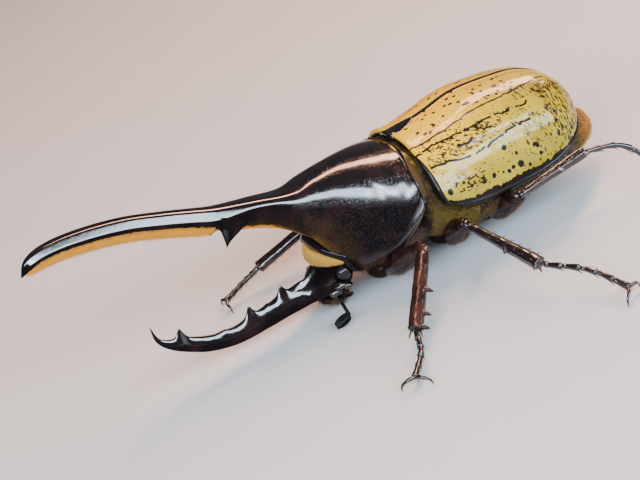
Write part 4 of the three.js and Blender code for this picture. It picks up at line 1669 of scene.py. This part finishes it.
@dataclass
class Head(Part):
    """The head with its horn, eyes, feelers and mouth.

    Attributes:
        stations: Rings from the neck to the horn's tip: y, z, half width and half depth.
        teeth: Teeth on top of the horn: place y and height.
        eye_middle: Middle of the left eye.
        eye_radius: Radius of the eyes, which are a little flatter from side to side.
    """

    stations: tuple[tuple[float, float, float, float], ...] = (
        (-21.4, -7.2, 4.4, 2.8), (-23.4, -7.4, 6.5, 3.9), (-26, -7.7, 7.2, 4.4),
        (-29, -8.75, 6.5, 3.45), (-32.5, -9.8, 4.8, 2.6), (-36, -9.8, 3.8, 3.05),
        (-42, -10.25, 3.1, 3.0), (-48, -11.0, 2.6, 2.7), (-54, -11.35, 2.35, 2.4),
        (-60, -10.4, 2.2, 2.2), (-65.3, -8.3, 2.05, 1.95), (-69.9, -6.0, 1.5, 1.35),
        (-72.9, -3.3, 0.8, 0.65), (-73.65, 0.55, 0.15, 0.15),
    )
    teeth: Stations = ((-39.4, 2.5), (-44.3, 0.35), (-48.85, 2.75), (-56.6, 0.3), (-67.1, 3.0))
    eye_middle: Point = (8.0, -25.4, -5.4)
    eye_radius: float = 1.9

    def surface(self, t: Array, a: Array) -> Array:
        """A point of head and horn: an ellipse across the middle line, squared where it is
        head.

        Args:
            t: Place along it.
            a: Turn around it.

        Returns:
            The points.
        """
        table = np.array(self.stations)
        steps = evenly(len(table))
        waist = lambda t, a: blend(0.24, 0.36, t) * (0.4 + 0.24 * np.cos(2 * np.pi * a))
        width = lambda t, a: through(list(zip(steps, table[:, 2])), t) * (1 - waist(t, a))
        depth = lambda t, a: through(list(zip(steps, table[:, 3])), t)
        path = Path(np.column_stack([0 * steps, table[:, 0], table[:, 1]]))
        return path.tube(width, depth, 0.9)(t, a)

    def crest(self, y: Array) -> Array:
        """How far the teeth rise at y: for each, e to the power of minus the distance to a
        power, longer in front than behind, on a low bell.

        Args:
            y: Place along the body.

        Returns:
            The rise in millimetres.
        """
        rise = 0 * y
        for place, height in self.teeth:
            away = y - place
            slope = np.abs(away / np.where(away < 0, 1.04, 0.82)) ** 1.6
            rise = rise + height * (0.85 * np.exp(-slope) + 0.15 * hump(away / 2.4))
        return rise

    def build_shell(self) -> None:
        """Head and horn in one tube, hollowed between the teeth on top, with the ridge that
        crosses each eye."""
        t = evenly(360)[:, None]
        grid = grid_of(self.surface, t[:, 0], 144)
        normal = normals_of(grid)
        turn = from_top(np.arange(144) / 144)[None, :]
        x, y = grid[..., 0], grid[..., 1]
        waves = 0.05 * speckle(x * 1.3, y, 2.2, 61) + 0.02 * speckle(x + 20, y * 1.2, 0.8, 62)
        top = hump(turn / 0.11)
        scoop = 0.15 * hump((y + 44) / 3) * top
        cheek = 0.45 * hump(np.hypot((t - 0.2) / 0.06, (turn - 0.3) / 0.07))
        from_eye = grid * np.where(grid[..., :1] < 0, [-1, 1, 1], [1, 1, 1]) - self.eye_middle
        scoop = scoop + 1.3 * hump(np.linalg.norm(from_eye, axis=-1) / 2.6)
        out = waves * fall(0.75, 0.9, t) - scoop + cheek - 0.05
        grid = grid + normal * out[..., None]
        keel = 1.5 * hump((y + 32.0) / 3.6) * fall(0, 1.3, np.abs(x))
        grid[..., 2] += (self.crest(y) * hump(x / 0.8) + keel) * (turn < 0.25)
        rough = 0.3 * fall(0.25, 0.4, t) + 0.05 + 0 * turn
        shiny = blend(0.25, 0.33, t + 0.08 * hump(turn / 0.05))
        dull = 1 - blend(0.18, 0.34, normal[..., 2]) * shiny
        piece = Piece("head_shell").add(grid, grain=rough, dull=dull)
        for sign in (1, -1):
            for centre, radii in (((7.7, -27.1, -8.2), (1.6, 1.7, 1.0)),
                                  ((8.5, -25.6, -8.7), (1.1, 1.5, 0.9)),
                                  ((6.4, -28.3, -9.9), (1.7, 1.8, 1.3))):
                lobe = egg(np.array(centre) * [sign, 1, 1], radii, 30, 36)
                lump = 0.12 * speckle(lobe[..., 1] * 2, lobe[..., 2] * 2 + 30, 1.4, 64)
                piece.add(lobe + normals_of(lobe) * lump[..., None], grain=0.15)
        self.show(piece, BlackShell(), Slot.BLACK, "head", "cephalic_horn")

    def build_eyes(self) -> None:
        """The eyes: smooth ellipsoids."""
        radii = (self.eye_radius * 0.8, self.eye_radius, self.eye_radius)
        for side in Side:
            ball = egg(self.eye_middle, radii, 48, 64)
            ball = ball if side is Side.LEFT else mirrored(ball)
            piece = Piece(f"eye_ball_{side.word}").add(ball)
            self.show(piece, EyeShell(), Slot.EYE, f"eye_{side.word}")

    def build_feelers(self) -> None:
        """The feelers: a stalk, a chain of small joints, and a club of three leaves."""
        for side in Side:
            piece = Piece(f"feeler_{side.word}")
            line = [(5.6, -27.6, -10.4), (6.9, -27.8, -11.2), (8.3, -28.1, -12.3)]
            piece.add(spike(line, 0.5, 0.72, 1.0, 20, 16))
            for k in range(7):
                centre = (8.6 + 0.3 * k, -28.4 + 0.02 * k, -12.6 - 0.4 * k)
                piece.add(egg(centre, (0.52, 0.5, 0.36 + 0.02 * k), 14, 16))
            for k in (-1, 0, 1):
                root = np.array([10.7 + 0.35 * k, -28.2, -15.2 - 0.25 * k])
                reach = np.array([0.15 * k, -4.4, -1.2 - 0.15 * k])
                steps = evenly(5)[:, None]
                bow = np.array([0.5, 0, 0.35]) * (steps * (1 - steps) * (1 + k))
                path = Path(root + reach * steps + bow, (0.35, 0.0, -1.0))
                wide = lambda t, a: 0.15 + 0.75 * np.abs(np.sin(np.pi * t**0.8)) ** 0.6
                flat = lambda t, a: 0.08 + 0.3 * np.abs(np.sin(np.pi * t)) ** 0.4
                piece.add(grid_of(path.tube(wide, flat), evenly(30), 24))
            if side is Side.RIGHT:
                piece.points = [mirrored(part) for part in piece.points]
                piece.quads = [part[:, ::-1] for part in piece.quads]
            self.show(piece, FEELER_SHELL, Slot.BROWN, f"antenna_{side.word}")

    def build_mouth(self) -> None:
        """The mouth: a lip, two jaws, a chin and two pairs of jointed palps, red-brown, with
        rusty hairs."""
        piece = Piece("mouth")
        piece.add(egg((0, -26.5, -12.4), (4.2, 3.3, 1.6), 32, 40))
        piece.add(egg((0, -30.2, -12.6), (2.4, 1.6, 0.8), 24, 28))
        for sign in (1, -1):
            piece.add(egg((sign * 2.8, -29.3, -12.9), (1.2, 2.0, 0.9), 20, 24))
            for start, spread in ((-26.2, 0.85), (-28.4, 0.8)):
                joints = [(3.2, start, -12.3), (5.4, start + 1, -13.3), (6.6, start + 1.8, -13),
                          (7.4, start + 2.2, -12.2)]
                joints = np.array(joints) * [sign * spread, 1, 1]
                for pair in zip(joints[:-1], joints[1:]):
                    piece.add(spike(pair, 0.36, 0.46, 1.0, 12))
        self.show(piece, MOUTH_SHELL, Slot.BROWN, "mouthparts")
        rng = np.random.default_rng(63)

        def skin(t: Array, a: Array) -> Array:
            """The underside of the mouth, a shallow half tube from side to side."""
            ring, turn = np.sin(np.pi * t), 2 * np.pi * a
            x, y = 4.4 * np.cos(np.pi * t), -26.6 - 3.4 * ring * np.sin(turn)
            return np.stack(np.broadcast_arrays(x, y, -12.4 + 1.6 * ring * np.cos(turn)), -1)

        roots = scatter(
            skin, 2200, rng, lambda t, a: blend(0.15, 0.3, a) * fall(0.7, 0.85, a),
            lambda p: np.array([0, -0.8, -0.5]) + p * [0.15, 0, 0],
        )
        coat = Coat("chin_hair", 2.0, 0.1, 0.45, (0, -0.1, -0.2), 0.3)
        self.grow(coat, roots, rng, RUSTY_SHADED_HAIR, Slot.BROWN)

    def build(self) -> None:
        """Shell, eyes, feelers and mouth."""
        self.build_shell()
        self.build_eyes()
        self.build_feelers()
        self.build_mouth()


# ---- Trunk --------------------------------------------------------------------------------


@dataclass
class Trunk(Part):
    """The chest below the shield, the trunk under the wing cases and the abdomen, with their
    coats.

    Attributes:
        dome: The wing cases' dome, which the trunk fills.
        inset: Room between the trunk and the dome.
        belly_line: Height of the underside along the body.
        chest_half: Half width of the chest from its rear, 0, to the neck, 1.
        chest_bottom: Height of its underside.
        abdomen_half: Half width of the abdomen.
        abdomen_top: Height of its back.
        abdomen_level: Height of its sides.
    """

    dome: WingDome = WingDome()
    inset: float = 1.4
    belly_line: Stations = (
        (-3, -6.5), (5, -9.2), (15, -9.2), (25, -8.4), (36, -7.4), (46, -5.6), (51, -4),
        (55.4, -0.6),
    )
    chest_half: Stations = ((0, 13.5), (0.35, 14.2), (0.7, 10.5), (1, 7))
    chest_bottom: Stations = ((0, -6.5), (0.35, -9.4), (0.75, -9.4), (1, -8))
    abdomen_half: Stations = (
        (21, 18.5), (30, 18.1), (40, 15.8), (46, 12.3), (50, 9.6), (53, 6.4), (55.4, 1.6),
    )
    abdomen_top: Stations = ((21, 18), (32, 17), (40, 14), (46, 9), (50, 5.2), (53, 4), (55.4, 1.4))
    abdomen_level: Stations = ((21, -0.9), (30, -0.4), (46, 0.6), (55.4, 0.2))

    @staticmethod
    def ring(y: Array, a: Array, half: Array, level: Array, top: Array, low: Array) -> Array:
        """A point of a cross-section: out with the sine of the turn a, and from the level up to
        the top or down to the low with its cosine, both squared a little.

        Args:
            y: Place along the body.
            a: Turn around it.
            half: Half width.
            level: Height of the sides.
            top: Height of the top.
            low: Height of the underside.

        Returns:
            The points.
        """
        sine, cosine = np.sin(2 * np.pi * a), np.cos(2 * np.pi * a)
        z = level + (np.where(cosine > 0, top, low) - level) * np.abs(cosine) ** 0.88
        return np.stack(np.broadcast_arrays(half * power(sine, 0.86), y, z), -1)

    def thorax_surface(self, t: Array, a: Array) -> Array:
        """The trunk from the neck to the abdomen: it fills the dome up to the inset.

        Args:
            t: Place along it.
            a: Turn around it.

        Returns:
            The points.
        """
        t, a = paired(t, a)
        y = -2.6 + 23.6 * t
        half, dome, margin = self.dome.sizes(np.clip(y / self.dome.length, 0, 1))
        low = through(self.belly_line, y)
        return self.ring(y, a, half - self.inset, margin - 1, margin + dome - 1.7, low)

    def abdomen_surface(self, t: Array, a: Array) -> Array:
        """The abdomen, with its rings gathered towards the tip by a sine.

        Args:
            t: Place along it.
            a: Turn around it.

        Returns:
            The points.
        """
        t, a = paired(t, a)
        y = 21.3 + 34.1 * np.sin(t * np.pi / 2)
        return self.ring(
            y, a, through(self.abdomen_half, y), through(self.abdomen_level, y),
            through(self.abdomen_top, y), through(self.belly_line, y),
        )

    def chest_surface(self, t: Array, a: Array) -> Array:
        """The chest from the trunk to the neck.

        Args:
            t: Place along it.
            a: Turn around it.

        Returns:
            The points.
        """
        t, a = paired(t, a)
        y = -4.6 - 16.6 * t
        half, low = through(self.chest_half, t), through(self.chest_bottom, t)
        return self.ring(y, a, half, -1.5 + 0 * t, 3.0 + 0 * t, low)

    def build_skins(self) -> None:
        """The three skins, wrinkled where they are soft and stepped at each belly plate."""
        a = (np.arange(120) / 120)[None, :]
        turn = from_top(a)
        trunk = grid_of(self.thorax_surface, evenly(90), 120)
        y = trunk[..., 1]
        seam = -0.5 * hump((y - 4.0) / 0.5) - 0.35 * hump((y - 12.5) / 0.4) * (turn > 0.2)
        out = seam + 0.1 * speckle(y * 1.5, turn * 90, 1.7, 71)
        piece = Piece("shaded_trunk_skin").add(trunk + normals_of(trunk) * (out - 0.1)[..., None])
        # Partly painted shade: the trunk's brown skin is made near black for the shade under the
        # wing cases
        skin = Membrane("shaded_trunk_skin", (0.012, 0.006, 0.004), (0.05, 0.028, 0.008))
        self.show(piece, skin, Slot.FLANK, "mesothorax", "metathorax")

        belly = grid_of(self.abdomen_surface, evenly(170), 120)
        y = belly[..., 1]
        phase = ((y - 21.3) / 5.2) % 1
        step = 0.4 * phase * fall(0.9, 1, phase) * fall(52, 55, y)
        out = step + 0.08 * speckle(y * 1.5, turn * 90, 1.5, 72) - 0.4
        belly = belly + normals_of(belly) * out[..., None]
        self.show(Piece("abdomen_plates").add(belly), BELLY_SHELL, Slot.BROWN, "abdomen")

        chest = grid_of(self.chest_surface, evenly(80), 96)
        out = 0.12 * speckle(chest[..., 0], chest[..., 1] * 1.3, 1.7, 73) - 0.1
        chest = chest + normals_of(chest) * out[..., None]
        self.show(Piece("chest_plate").add(chest), BrownShell(), Slot.BROWN, "prosternum")

    def build_fold(self) -> None:
        """The golden fold of skin behind the shield: a soft tube round an arc under its rear rim,
        finely wrinkled across."""
        turn = np.linspace(-1, 1, 41) * 1.45
        arc = np.stack(
            [16.0 * power(np.sin(turn), 0.92), -3.2 + 1.6 * np.cos(turn) ** 2,
             5.6 + 11.2 * np.abs(np.cos(turn)) ** 0.95], -1
        )
        path = Path(arc, (0.0, 1.0, 0.0))
        width = lambda t, a: 1.9 + 0 * t
        depth = lambda t, a: 1.35 + 0.04 * np.sin(460 * t)
        t = evenly(300)
        shade = blend(0.42, 0.62, np.abs(2 * t - 1))[:, None]
        piece = Piece("shield_fold").add(grid_of(path.tube(width, depth), t, 28), shade=shade)
        skin = Membrane("fold_skin", (0.05, 0.025, 0.005), (0.46, 0.3, 0.03))
        self.show(piece, skin, Slot.FLANK)

    def build_coats(self) -> None:
        """The coats: golden on the flanks, the belly and behind the shield, rusty on the chest, and
        orange at the tail."""
        rng = np.random.default_rng(74)
        back = lambda p: np.array([0, 1.0, -0.25]) + 0 * p
        sides = lambda t, a: blend(0.2, 0.26, from_top(a))

        def collar(t: Array, a: Array) -> Array:
            """Thick behind the shield's rear edge at the sides, and none on top or underneath."""
            turn = from_top(a)
            return fall(0.08, 0.2, t) * (turn < 0.38) * blend(0.16, 0.22, turn)

        def flank(t: Array, a: Array) -> Array:
            """On the sides below the wing cases, and thinner underneath."""
            turn = from_top(a)
            clump = 0.35 + np.maximum(speckle(t * 24, turn * 90, 3.0, 75), 0)
            return blend(0.225, 0.26, turn) * (1 - 0.7 * blend(0.29, 0.36, turn)) * clump

        def tail(t: Array, a: Array) -> Array:
            """Only round the tip."""
            return blend(0.42, 0.75, t) * (0.4 + 0.6 * blend(0.15, 0.25, from_top(a)))

        front = lambda t, a: flank(t, a) * (1 - 0.85 * blend(0.4, 0.56, t))
        plans = (
            (self.thorax_surface, 4000, collar, COLLAR_HAIR, Slot.FLANK,
             Coat("collar_hair", 1.9, 0.09, 0.3, (0, 0, -0.15), 0.25)),
            (self.thorax_surface, 9000, front, FLANK_HAIR, Slot.FLANK,
             Coat("flank_hair", 2.2, 0.11, 0.25, (0, 0, -0.2), 0.25)),
            (self.abdomen_surface, 6000, flank, FLANK_HAIR, Slot.BROWN,
             Coat("belly_hair", 1.7, 0.1, 0.25, (0, 0, -0.15), 0.3)),
            (self.abdomen_surface, 9000, tail, TAIL_HAIR, Slot.BROWN,
             Coat("tail_hair", 1.5, 0.11, 0.3, (0, 0, -0.2), 0.3)),
            (self.chest_surface, 6000, sides, RUSTY_SHADED_HAIR, Slot.BROWN,
             Coat("chest_hair", 2.2, 0.11, 0.3, (0, 0, -0.2), 0.3)),
        )
        for skin, count, density, finish, slot, coat in plans:
            roots = scatter(skin, count, rng, density, back)
            self.grow(coat, roots, rng, finish, slot)

    def build(self) -> None:
        """Skins, fold and coats."""
        self.build_skins()
        self.build_fold()
        self.build_coats()


# ---- Legs ---------------------------------------------------------------------------------


@dataclass
class Leg(Part):
    """One leg: hip, thigh, shin and a foot of five joints with two claws. Everything but the
    places of hip, knee and ankle is in the floor's frame.

    Attributes:
        name: Which leg, as the nodes spell it.
        side: Which side it is on.
        hip: Where the thigh starts, in the body's frame.
        knee: Where the shin starts.
        ankle: Where the foot starts.
        instep: Middle of the foot.
        wrist: Where the claws start.
        thigh: Half height of the thigh along it.
        claw_forward: How far the claws reach ahead of the wrist.
        claw_spread: How far each claw's tip is from the middle.
    """

    name: str
    side: Side
    hip: Point
    knee: Point
    ankle: Point
    instep: Point
    wrist: Point
    thigh: Stations = ((0, 1.5), (0.2, 2.4), (0.45, 3), (0.75, 2.3), (1, 1.5))
    claw_forward: float = 0.5
    claw_spread: float = 3.8

    def place(self, points: Array) -> Array:
        """The leg's points, which are in the floor's frame, in metres of the model's frame."""
        return self.body.on_floor(points)

    @property
    def is_fore(self) -> bool:
        """Whether it is one of the digging front legs."""
        return self.name.startswith("fore")

    @property
    def shin(self) -> Stations:
        """Half thickness of the shin. Fore shins are broad at the ankle."""
        if self.is_fore:
            return ((0, 1.65), (0.15, 1.8), (0.5, 1.9), (1, 2.05))
        return ((0, 1.3), (0.15, 1.2), (0.9, 1.85), (1, 1.7))

    def bones(self) -> tuple[Array, Array, Array, Array, Array]:
        """Hip, knee, ankle, instep and wrist in the floor's frame."""
        stood = self.body.stand(np.array([self.hip, self.knee, self.ankle]))
        return (*stood, np.array(self.instep), np.array(self.wrist))

    @staticmethod
    def sideways(start: Array, end: Array) -> Array:
        """The level direction at right angles to a bone."""
        return unit(np.cross([0, 0, 1.0], end - start))

    def thigh_surface(self, t: Array, a: Array) -> Array:
        """The thigh: an ellipse round its bone, taller than wide.

        Args:
            t: Place along it.
            a: Turn around it.

        Returns:
            The points.
        """
        hip, knee, *_ = self.bones()
        path = Path(np.array([hip, (hip + knee) / 2, knee]), tuple(self.sideways(hip, knee)))
        high = lambda t, a: through(self.thigh, t)
        return path.tube(lambda t, a: 0.8 * high(t, a), high)(t, a)

    def shin_surface(self, t: Array, a: Array) -> Array:
        """The shin: a flattened ellipse round its bone.

        Args:
            t: Place along it.
            a: Turn around it.

        Returns:
            The points.
        """
        _, knee, ankle, *_ = self.bones()
        path = Path(np.array([knee, (knee + ankle) / 2, ankle]), tuple(self.sideways(knee, ankle)))
        wide = lambda t, a: through(self.shin, t)
        flat = 0.85 if self.is_fore else 0.9
        return path.tube(wide, lambda t, a: flat * wide(t, a))(t, a)

    def build_thigh(self) -> None:
        """Hip and thigh, with a groove along the thigh and a swollen knee."""
        hip, knee, *_ = self.bones()
        middle = hip + [-2 * self.side.value, 0, 0.8]
        coxa = egg(middle, (4.4, 3.4, 2.9), 32, 40)
        self.show(Piece(f"hip_{self.name}").add(coxa), SHADED_HIP_SHELL, Slot.BROWN, f"coxa_{self.name}")
        t = evenly(90)[:, None]
        grid = grid_of(self.thigh_surface, t[:, 0], 48)
        a = (np.arange(48) / 48)[None, :]
        groove = -0.25 * hump((np.abs(a - 0.5) - 0.06) / 0.03) * blend(0.35, 0.6, t)
        collar = 0.3 * hump((t - 0.93) / 0.04) - 0.2 * hump((t - 0.85) / 0.03)
        waves = 0.08 * speckle(t * 20 + 0 * a, a * 14 + 0 * t, 1.5, 81)
        grid = grid + normals_of(grid) * (groove + collar + waves - 0.08)[..., None]
        piece = Piece(f"thigh_{self.name}").add(grid)
        self.show(piece, BrownShell(), Slot.BROWN, f"femur_{self.name}")
        rng = np.random.default_rng(sum(map(ord, self.name)))
        roots = scatter(
            self.thigh_surface, 900, rng,
            lambda t, a: hump((np.abs(a - 0.5) - 0.1) / 0.05) * blend(0.1, 0.3, t),
            lambda p: (knee - hip) + 0 * p,
        )
        coat = Coat(f"thigh_hair_{self.name}", 1.3, 0.08, 0.4, (0, 0, -0.15), 0.22)
        self.grow(coat, roots, rng, RUSTY_SHADED_HAIR, Slot.BROWN)

    def build_shin(self) -> None:
        """The shin with its ridges, outer teeth, end spurs and rows of spines."""
        _, knee, ankle, *_ = self.bones()
        along = ankle - knee
        heading = unit(along)
        across = self.sideways(knee, ankle)
        outward = across * (self.side.value if self.is_fore else -1)
        up = np.cross(heading, across)
        t = evenly(110)[:, None]
        grid = grid_of(self.shin_surface, t[:, 0], 56)
        a = (np.arange(56) / 56)[None, :]
        ridges = (0.02 if self.is_fore else 0.06) * np.cos(2 * np.pi * 6 * a + 0.4)
        ridges = ridges * blend(0.05, 0.25, t)
        notch = -0.3 * hump((t - 0.07) / 0.03) + 0.2 * blend(0.95, 0.985, t)
        waves = 0.05 * speckle(t * 22 + 0 * a, a * 16 + 0 * t, 1.3, 82)
        end = -0.9 * blend(0.975, 1.0, t)
        out = ridges + notch + waves + end - 0.12
        grid = grid + normals_of(grid) * out[..., None]
        piece = Piece(f"shin_{self.name}").add(grid, grain=0.35)
        places = (0.52, 0.8, 0.96) if self.is_fore else (0.58, 0.96)
        reach = 3.7 if self.is_fore else 2.6
        for place in places:
            root = knee + along * place
            tip = root + outward * reach + heading
            bow = (root + tip) / 2 - heading * 0.35
            piece.add(spike([root, bow, tip], 1.3, 0.3, 1.3, 22, 18), grain=0.1)
        for sign in (1, -1):
            root = ankle + across * sign * 0.9 - heading * 0.4
            tip = root + heading * 2.2 + across * sign * 0.9 - up * 0.5
            piece.add(spike([root, (root + tip) / 2 + up * 0.2, tip], 0.36, 0.12, 1.0, 12, 10))
        rng = np.random.default_rng(83)
        for place in np.linspace(0.35, 0.9, 6):
            for angle in (0.5,) if self.is_fore else (0.15, 0.4, 0.88):
                here = self.shin_surface(np.array(place), np.array(angle + rng.normal(0, 0.02)))
                middle = knee + along * place
                out_way = unit(here - middle)
                tip = here + out_way * 0.3 + heading * 0.9
                piece.add(spike([here - out_way * 0.25, here + out_way * 0.25, tip], 0.13, 0.05,
                                1.0, 7, 8))
        # Painted warm reflection: only the near front shin gets the copper cast, and the far one
        # stays black
        shell = CopperSheenShell() if self.name == "fore_left" else BlackShell()
        self.show(piece, shell, Slot.BLACK, f"tibia_{self.name}")

    def build_foot(self) -> None:
        """Five joints that each flare to a collar, with bristles, then the two hooked claws."""
        _, _, ankle, instep, wrist = self.bones()
        start = ankle + unit(instep - ankle) * 0.6
        across = self.sideways(ankle, wrist)
        path = Path(np.array([start, instep, wrist]), tuple(across))

        def girth(t: Array, a: Array) -> Array:
            """Each joint swells with a power of its own share, then drops at once."""
            share = (t * 5) % 1
            swell = share * fall(0.9, 1, share) + 0.25 * hump((share - 0.12) / 0.08)
            return 0.5 + 0.42 * swell + 0.08 * (t > 0.8)

        grid = grid_of(path.tube(girth, girth), np.linspace(0, 0.999, 150), 24)
        piece = Piece(f"foot_{self.name}").add(grid, grain=0.1)
        for joint in range(1, 6):
            t = np.array(joint / 5 - 0.02)
            here = path.at(t)
            heading, side, up = (axis for axis in path.axes(t))
            for across_share, up_share in ((0.8, -0.6), (-0.8, -0.6), (0.35, -0.9), (-0.35, -0.9)):
                way = side * across_share + up * up_share
                root = here + way * 0.5
                tip = root + way * 0.7 + heading * 1.3
                tip[2] = max(tip[2], 0.1)
                piece.add(spike([root, root + way * 0.4 + heading * 0.4, tip], 0.12, 0.05,
                                1.0, 7, 8))
        heading = unit((wrist - instep) * [1, 1, 0])
        for sign in (-1, 1):
            out = across * sign * self.claw_spread
            hook = wrist + heading * self.claw_forward + out * np.array([[0], [0.45], [0.85], [1]])
            hook[0] = wrist - heading * 0.6
            hook[1:, 2] = wrist[2] * 0.98, wrist[2] * 0.62, 0.1
            claw = spike(hook, 0.55, 0.12, 0.8, 30, 16)
            claw[..., 2] = np.maximum(claw[..., 2], 0.0)
            piece.add(claw, grain=0.0)
        self.show(piece, BlackShell(), Slot.BLACK, f"tarsus_{self.name}")

    def build(self) -> None:
        """Thigh, shin and foot."""
        self.build_thigh()
        self.build_shin()
        self.build_foot()


def legs(body: BodyFrame, wardrobe: Wardrobe) -> list[Leg]:
    """The six legs in the beetle's stance.

    Args:
        body: The beetle's own frame.
        wardrobe: Where their finishes come from.

    Returns:
        The legs, from front to rear.
    """
    left, right = Side.LEFT, Side.RIGHT
    stances = (
        ("fore_left", left, (8, -15, -10), (24, -10, -1), (37.4, -23.8, -12.6),
         (45.8, -28.4, 4.3), (51.2, -33.9, 2.8)),
        ("fore_right", right, (-8, -15, -10), (-25.5, -13.4, -3.4), (-30, -34, -11.5),
         (-30.6, -40.2, 4.6), (-30, -46.2, 2.8)),
        ("mid_left", left, (8, 4, -9.5), (26, 1.4, 0.4), (48.4, 6.3, -6.4),
         (57.8, 12, 7.2), (66.1, 15.9, 3)),
        ("mid_right", right, (-8, 4, -9.5), (-25, 2.5, -0.2), (-45.5, 12, -7),
         (-54, 17.8, 6.2), (-61, 22.4, 3)),
        ("hind_left", left, (8.5, 17, -8.6), (24.3, 18.2, -0.2), (24.4, 38.6, 2.6),
         (26.8, 48.6, 13.2), (30.5, 56.4, 3)),
        ("hind_right", right, (-8.5, 17, -8.6), (-24, 20, -1), (-32.5, 40, -3),
         (-36.6, 49, 8.2), (-41, 56.6, 3)),
    )
    return [Leg(body, wardrobe, *stance) for stance in stances]


# ---- Studio -------------------------------------------------------------------------------


@dataclass(frozen=True)
class Lamp:
    """A soft lamp.

    Attributes:
        name: Its name.
        azimuth: Degrees round the beetle from the front, anticlockwise from above.
        elevation: Degrees above the floor.
        distance: Metres from the beetle.
        size: Width and height in metres.
        power: Watts.
        color: Its colour.
        lean: Degrees that it is turned in its own plane.
    """

    name: str
    azimuth: float
    elevation: float
    distance: float
    size: Pair
    power: float
    color: Color
    lean: float = 0.0


@dataclass
class Studio:
    """A pale floor, soft lamps, a dim pale room, and the camera.

    Attributes:
        room: Colour of the room.
        room_strength: Its light.
        lamps: The lamps.
        target: What the camera looks at, in the floor's frame.
        azimuth: Degrees of the camera round the beetle, 0 in front, 90 at its left.
        elevation: Degrees of the camera over the floor.
        roll: Degrees that the camera leans.
        distance: Millimetres from the target.
        lens: Focal length on a 36 mm sensor.
    """

    body: BodyFrame
    room: Color = (0.86, 0.90, 1.0)
    room_strength: float = 0.12
    lamps: tuple[Lamp, ...] = (
        Lamp("cool_strip", 98, 31, 0.7, (1.4, 0.18), 18.0, (0.70, 0.85, 1.0), -6),
        Lamp("rim_strip", 42, 27, 0.7, (0.6, 0.14), 5.0, (0.78, 0.88, 1.0)),
        Lamp("warm_strip", 213, 58, 0.7, (0.11, 0.95), 12.0, (1.0, 0.52, 0.34)),
    )
    target: Point = (-0.216, -25.432, 19.060)
    azimuth: float = 71.4716
    elevation: float = 24.5779
    roll: float = -21.7258
    distance: float = 376.27
    lens: float = 85.23

    @staticmethod
    def away(azimuth: float, elevation: float) -> Array:
        """The direction at those angles: azimuth 0 points to -Y and 90 to +X."""
        az, el = np.radians(azimuth), np.radians(elevation)
        return np.array([np.sin(az) * np.cos(el), -np.cos(az) * np.cos(el), np.sin(el)])

    def build_floor(self) -> None:
        """The floor: a wide sheet that dips and rises by a hundredth of a millimetre."""
        side = np.linspace(-1.5, 1.5, 60)
        x, y = np.meshgrid(side, side, indexing="ij")
        points = np.stack([x, y, -1e-5 - 1e-5 * np.sin(9 * x) * np.sin(7 * y)], -1).reshape(-1, 3)
        index = np.arange(3600).reshape(60, 60)
        quads = np.stack([index[:-1, :-1], index[1:, :-1], index[1:, 1:], index[:-1, 1:]], -1)
        floor = put_in_scene(new_mesh("studio_floor", points, quads.reshape(-1, 4), None))
        floor.data.materials.append(Paper().make())

    def build_lights(self) -> None:
        """The lamps, each facing the beetle, and the room."""
        centre = Vector(self.body.on_floor(np.array([0, -5.0, 25.0])))
        for lamp in self.lamps:
            light = bpy.data.lights.new(lamp.name, "AREA")
            light.shape = "RECTANGLE"
            light.size, light.size_y = lamp.size
            light.energy = lamp.power
            light.color = lamp.color
            holder = bpy.data.objects.new(lamp.name, light)
            bpy.context.scene.collection.objects.link(holder)
            way = Vector(self.away(lamp.azimuth, lamp.elevation))
            holder.location = centre + way * lamp.distance
            lean = Matrix.Rotation(np.radians(lamp.lean), 3, "Z")
            turn = way.to_track_quat("Z", "Y").to_matrix() @ lean
            holder.rotation_euler = turn.to_euler()
        world = bpy.data.worlds.new("studio_room")
        world.use_nodes = True
        backdrop = world.node_tree.nodes["Background"]
        backdrop.inputs["Color"].default_value = (*self.room, 1.0)
        backdrop.inputs["Strength"].default_value = self.room_strength
        bpy.context.scene.world = world

    def build_camera(self) -> None:
        """The camera: it faces the target from its angles, leaning by the roll."""
        back = self.away(self.azimuth, self.elevation)
        right = unit(np.cross(-back, [0, 0, 1.0]))
        up = np.cross(right, -back)
        c, s = np.cos(np.radians(self.roll)), np.sin(np.radians(self.roll))
        place = self.body.on_floor(np.array(self.target) + back * self.distance)
        matrix = np.eye(4)
        matrix[:3, :3] = np.column_stack([right * c + up * s, up * c - right * s, back])
        matrix[:3, 3] = place
        lens = bpy.data.cameras.new("studio_camera")
        lens.lens, lens.sensor_width = self.lens, SENSOR_WIDTH
        lens.clip_start, lens.clip_end = 0.01, 20.0
        camera = bpy.data.objects.new("studio_camera", lens)
        camera.matrix_world = Matrix(matrix.tolist())
        bpy.context.scene.collection.objects.link(camera)
        bpy.context.scene.camera = camera

    def build(self) -> None:
        """Floor, lights and camera."""
        self.build_floor()
        self.build_lights()
        self.build_camera()


def main() -> None:
    """Builds the beetle part by part, then the studio, and notes its size."""
    logging.basicConfig(level=logging.INFO, format="%(name)s: %(message)s", stream=sys.stdout)
    body = BodyFrame.read()
    wardrobe = Wardrobe()
    WingCases(body, wardrobe).build()
    WingShield(body, wardrobe).build()
    HornedShield(body, wardrobe).build()
    Head(body, wardrobe).build()
    Trunk(body, wardrobe).build()
    for leg in legs(body, wardrobe):
        leg.build()
    Studio(body).build()
    log.info("frame shift %s mm", [round(float(v), 3) for v in body.shift])


if __name__ == "__main__":
    main()
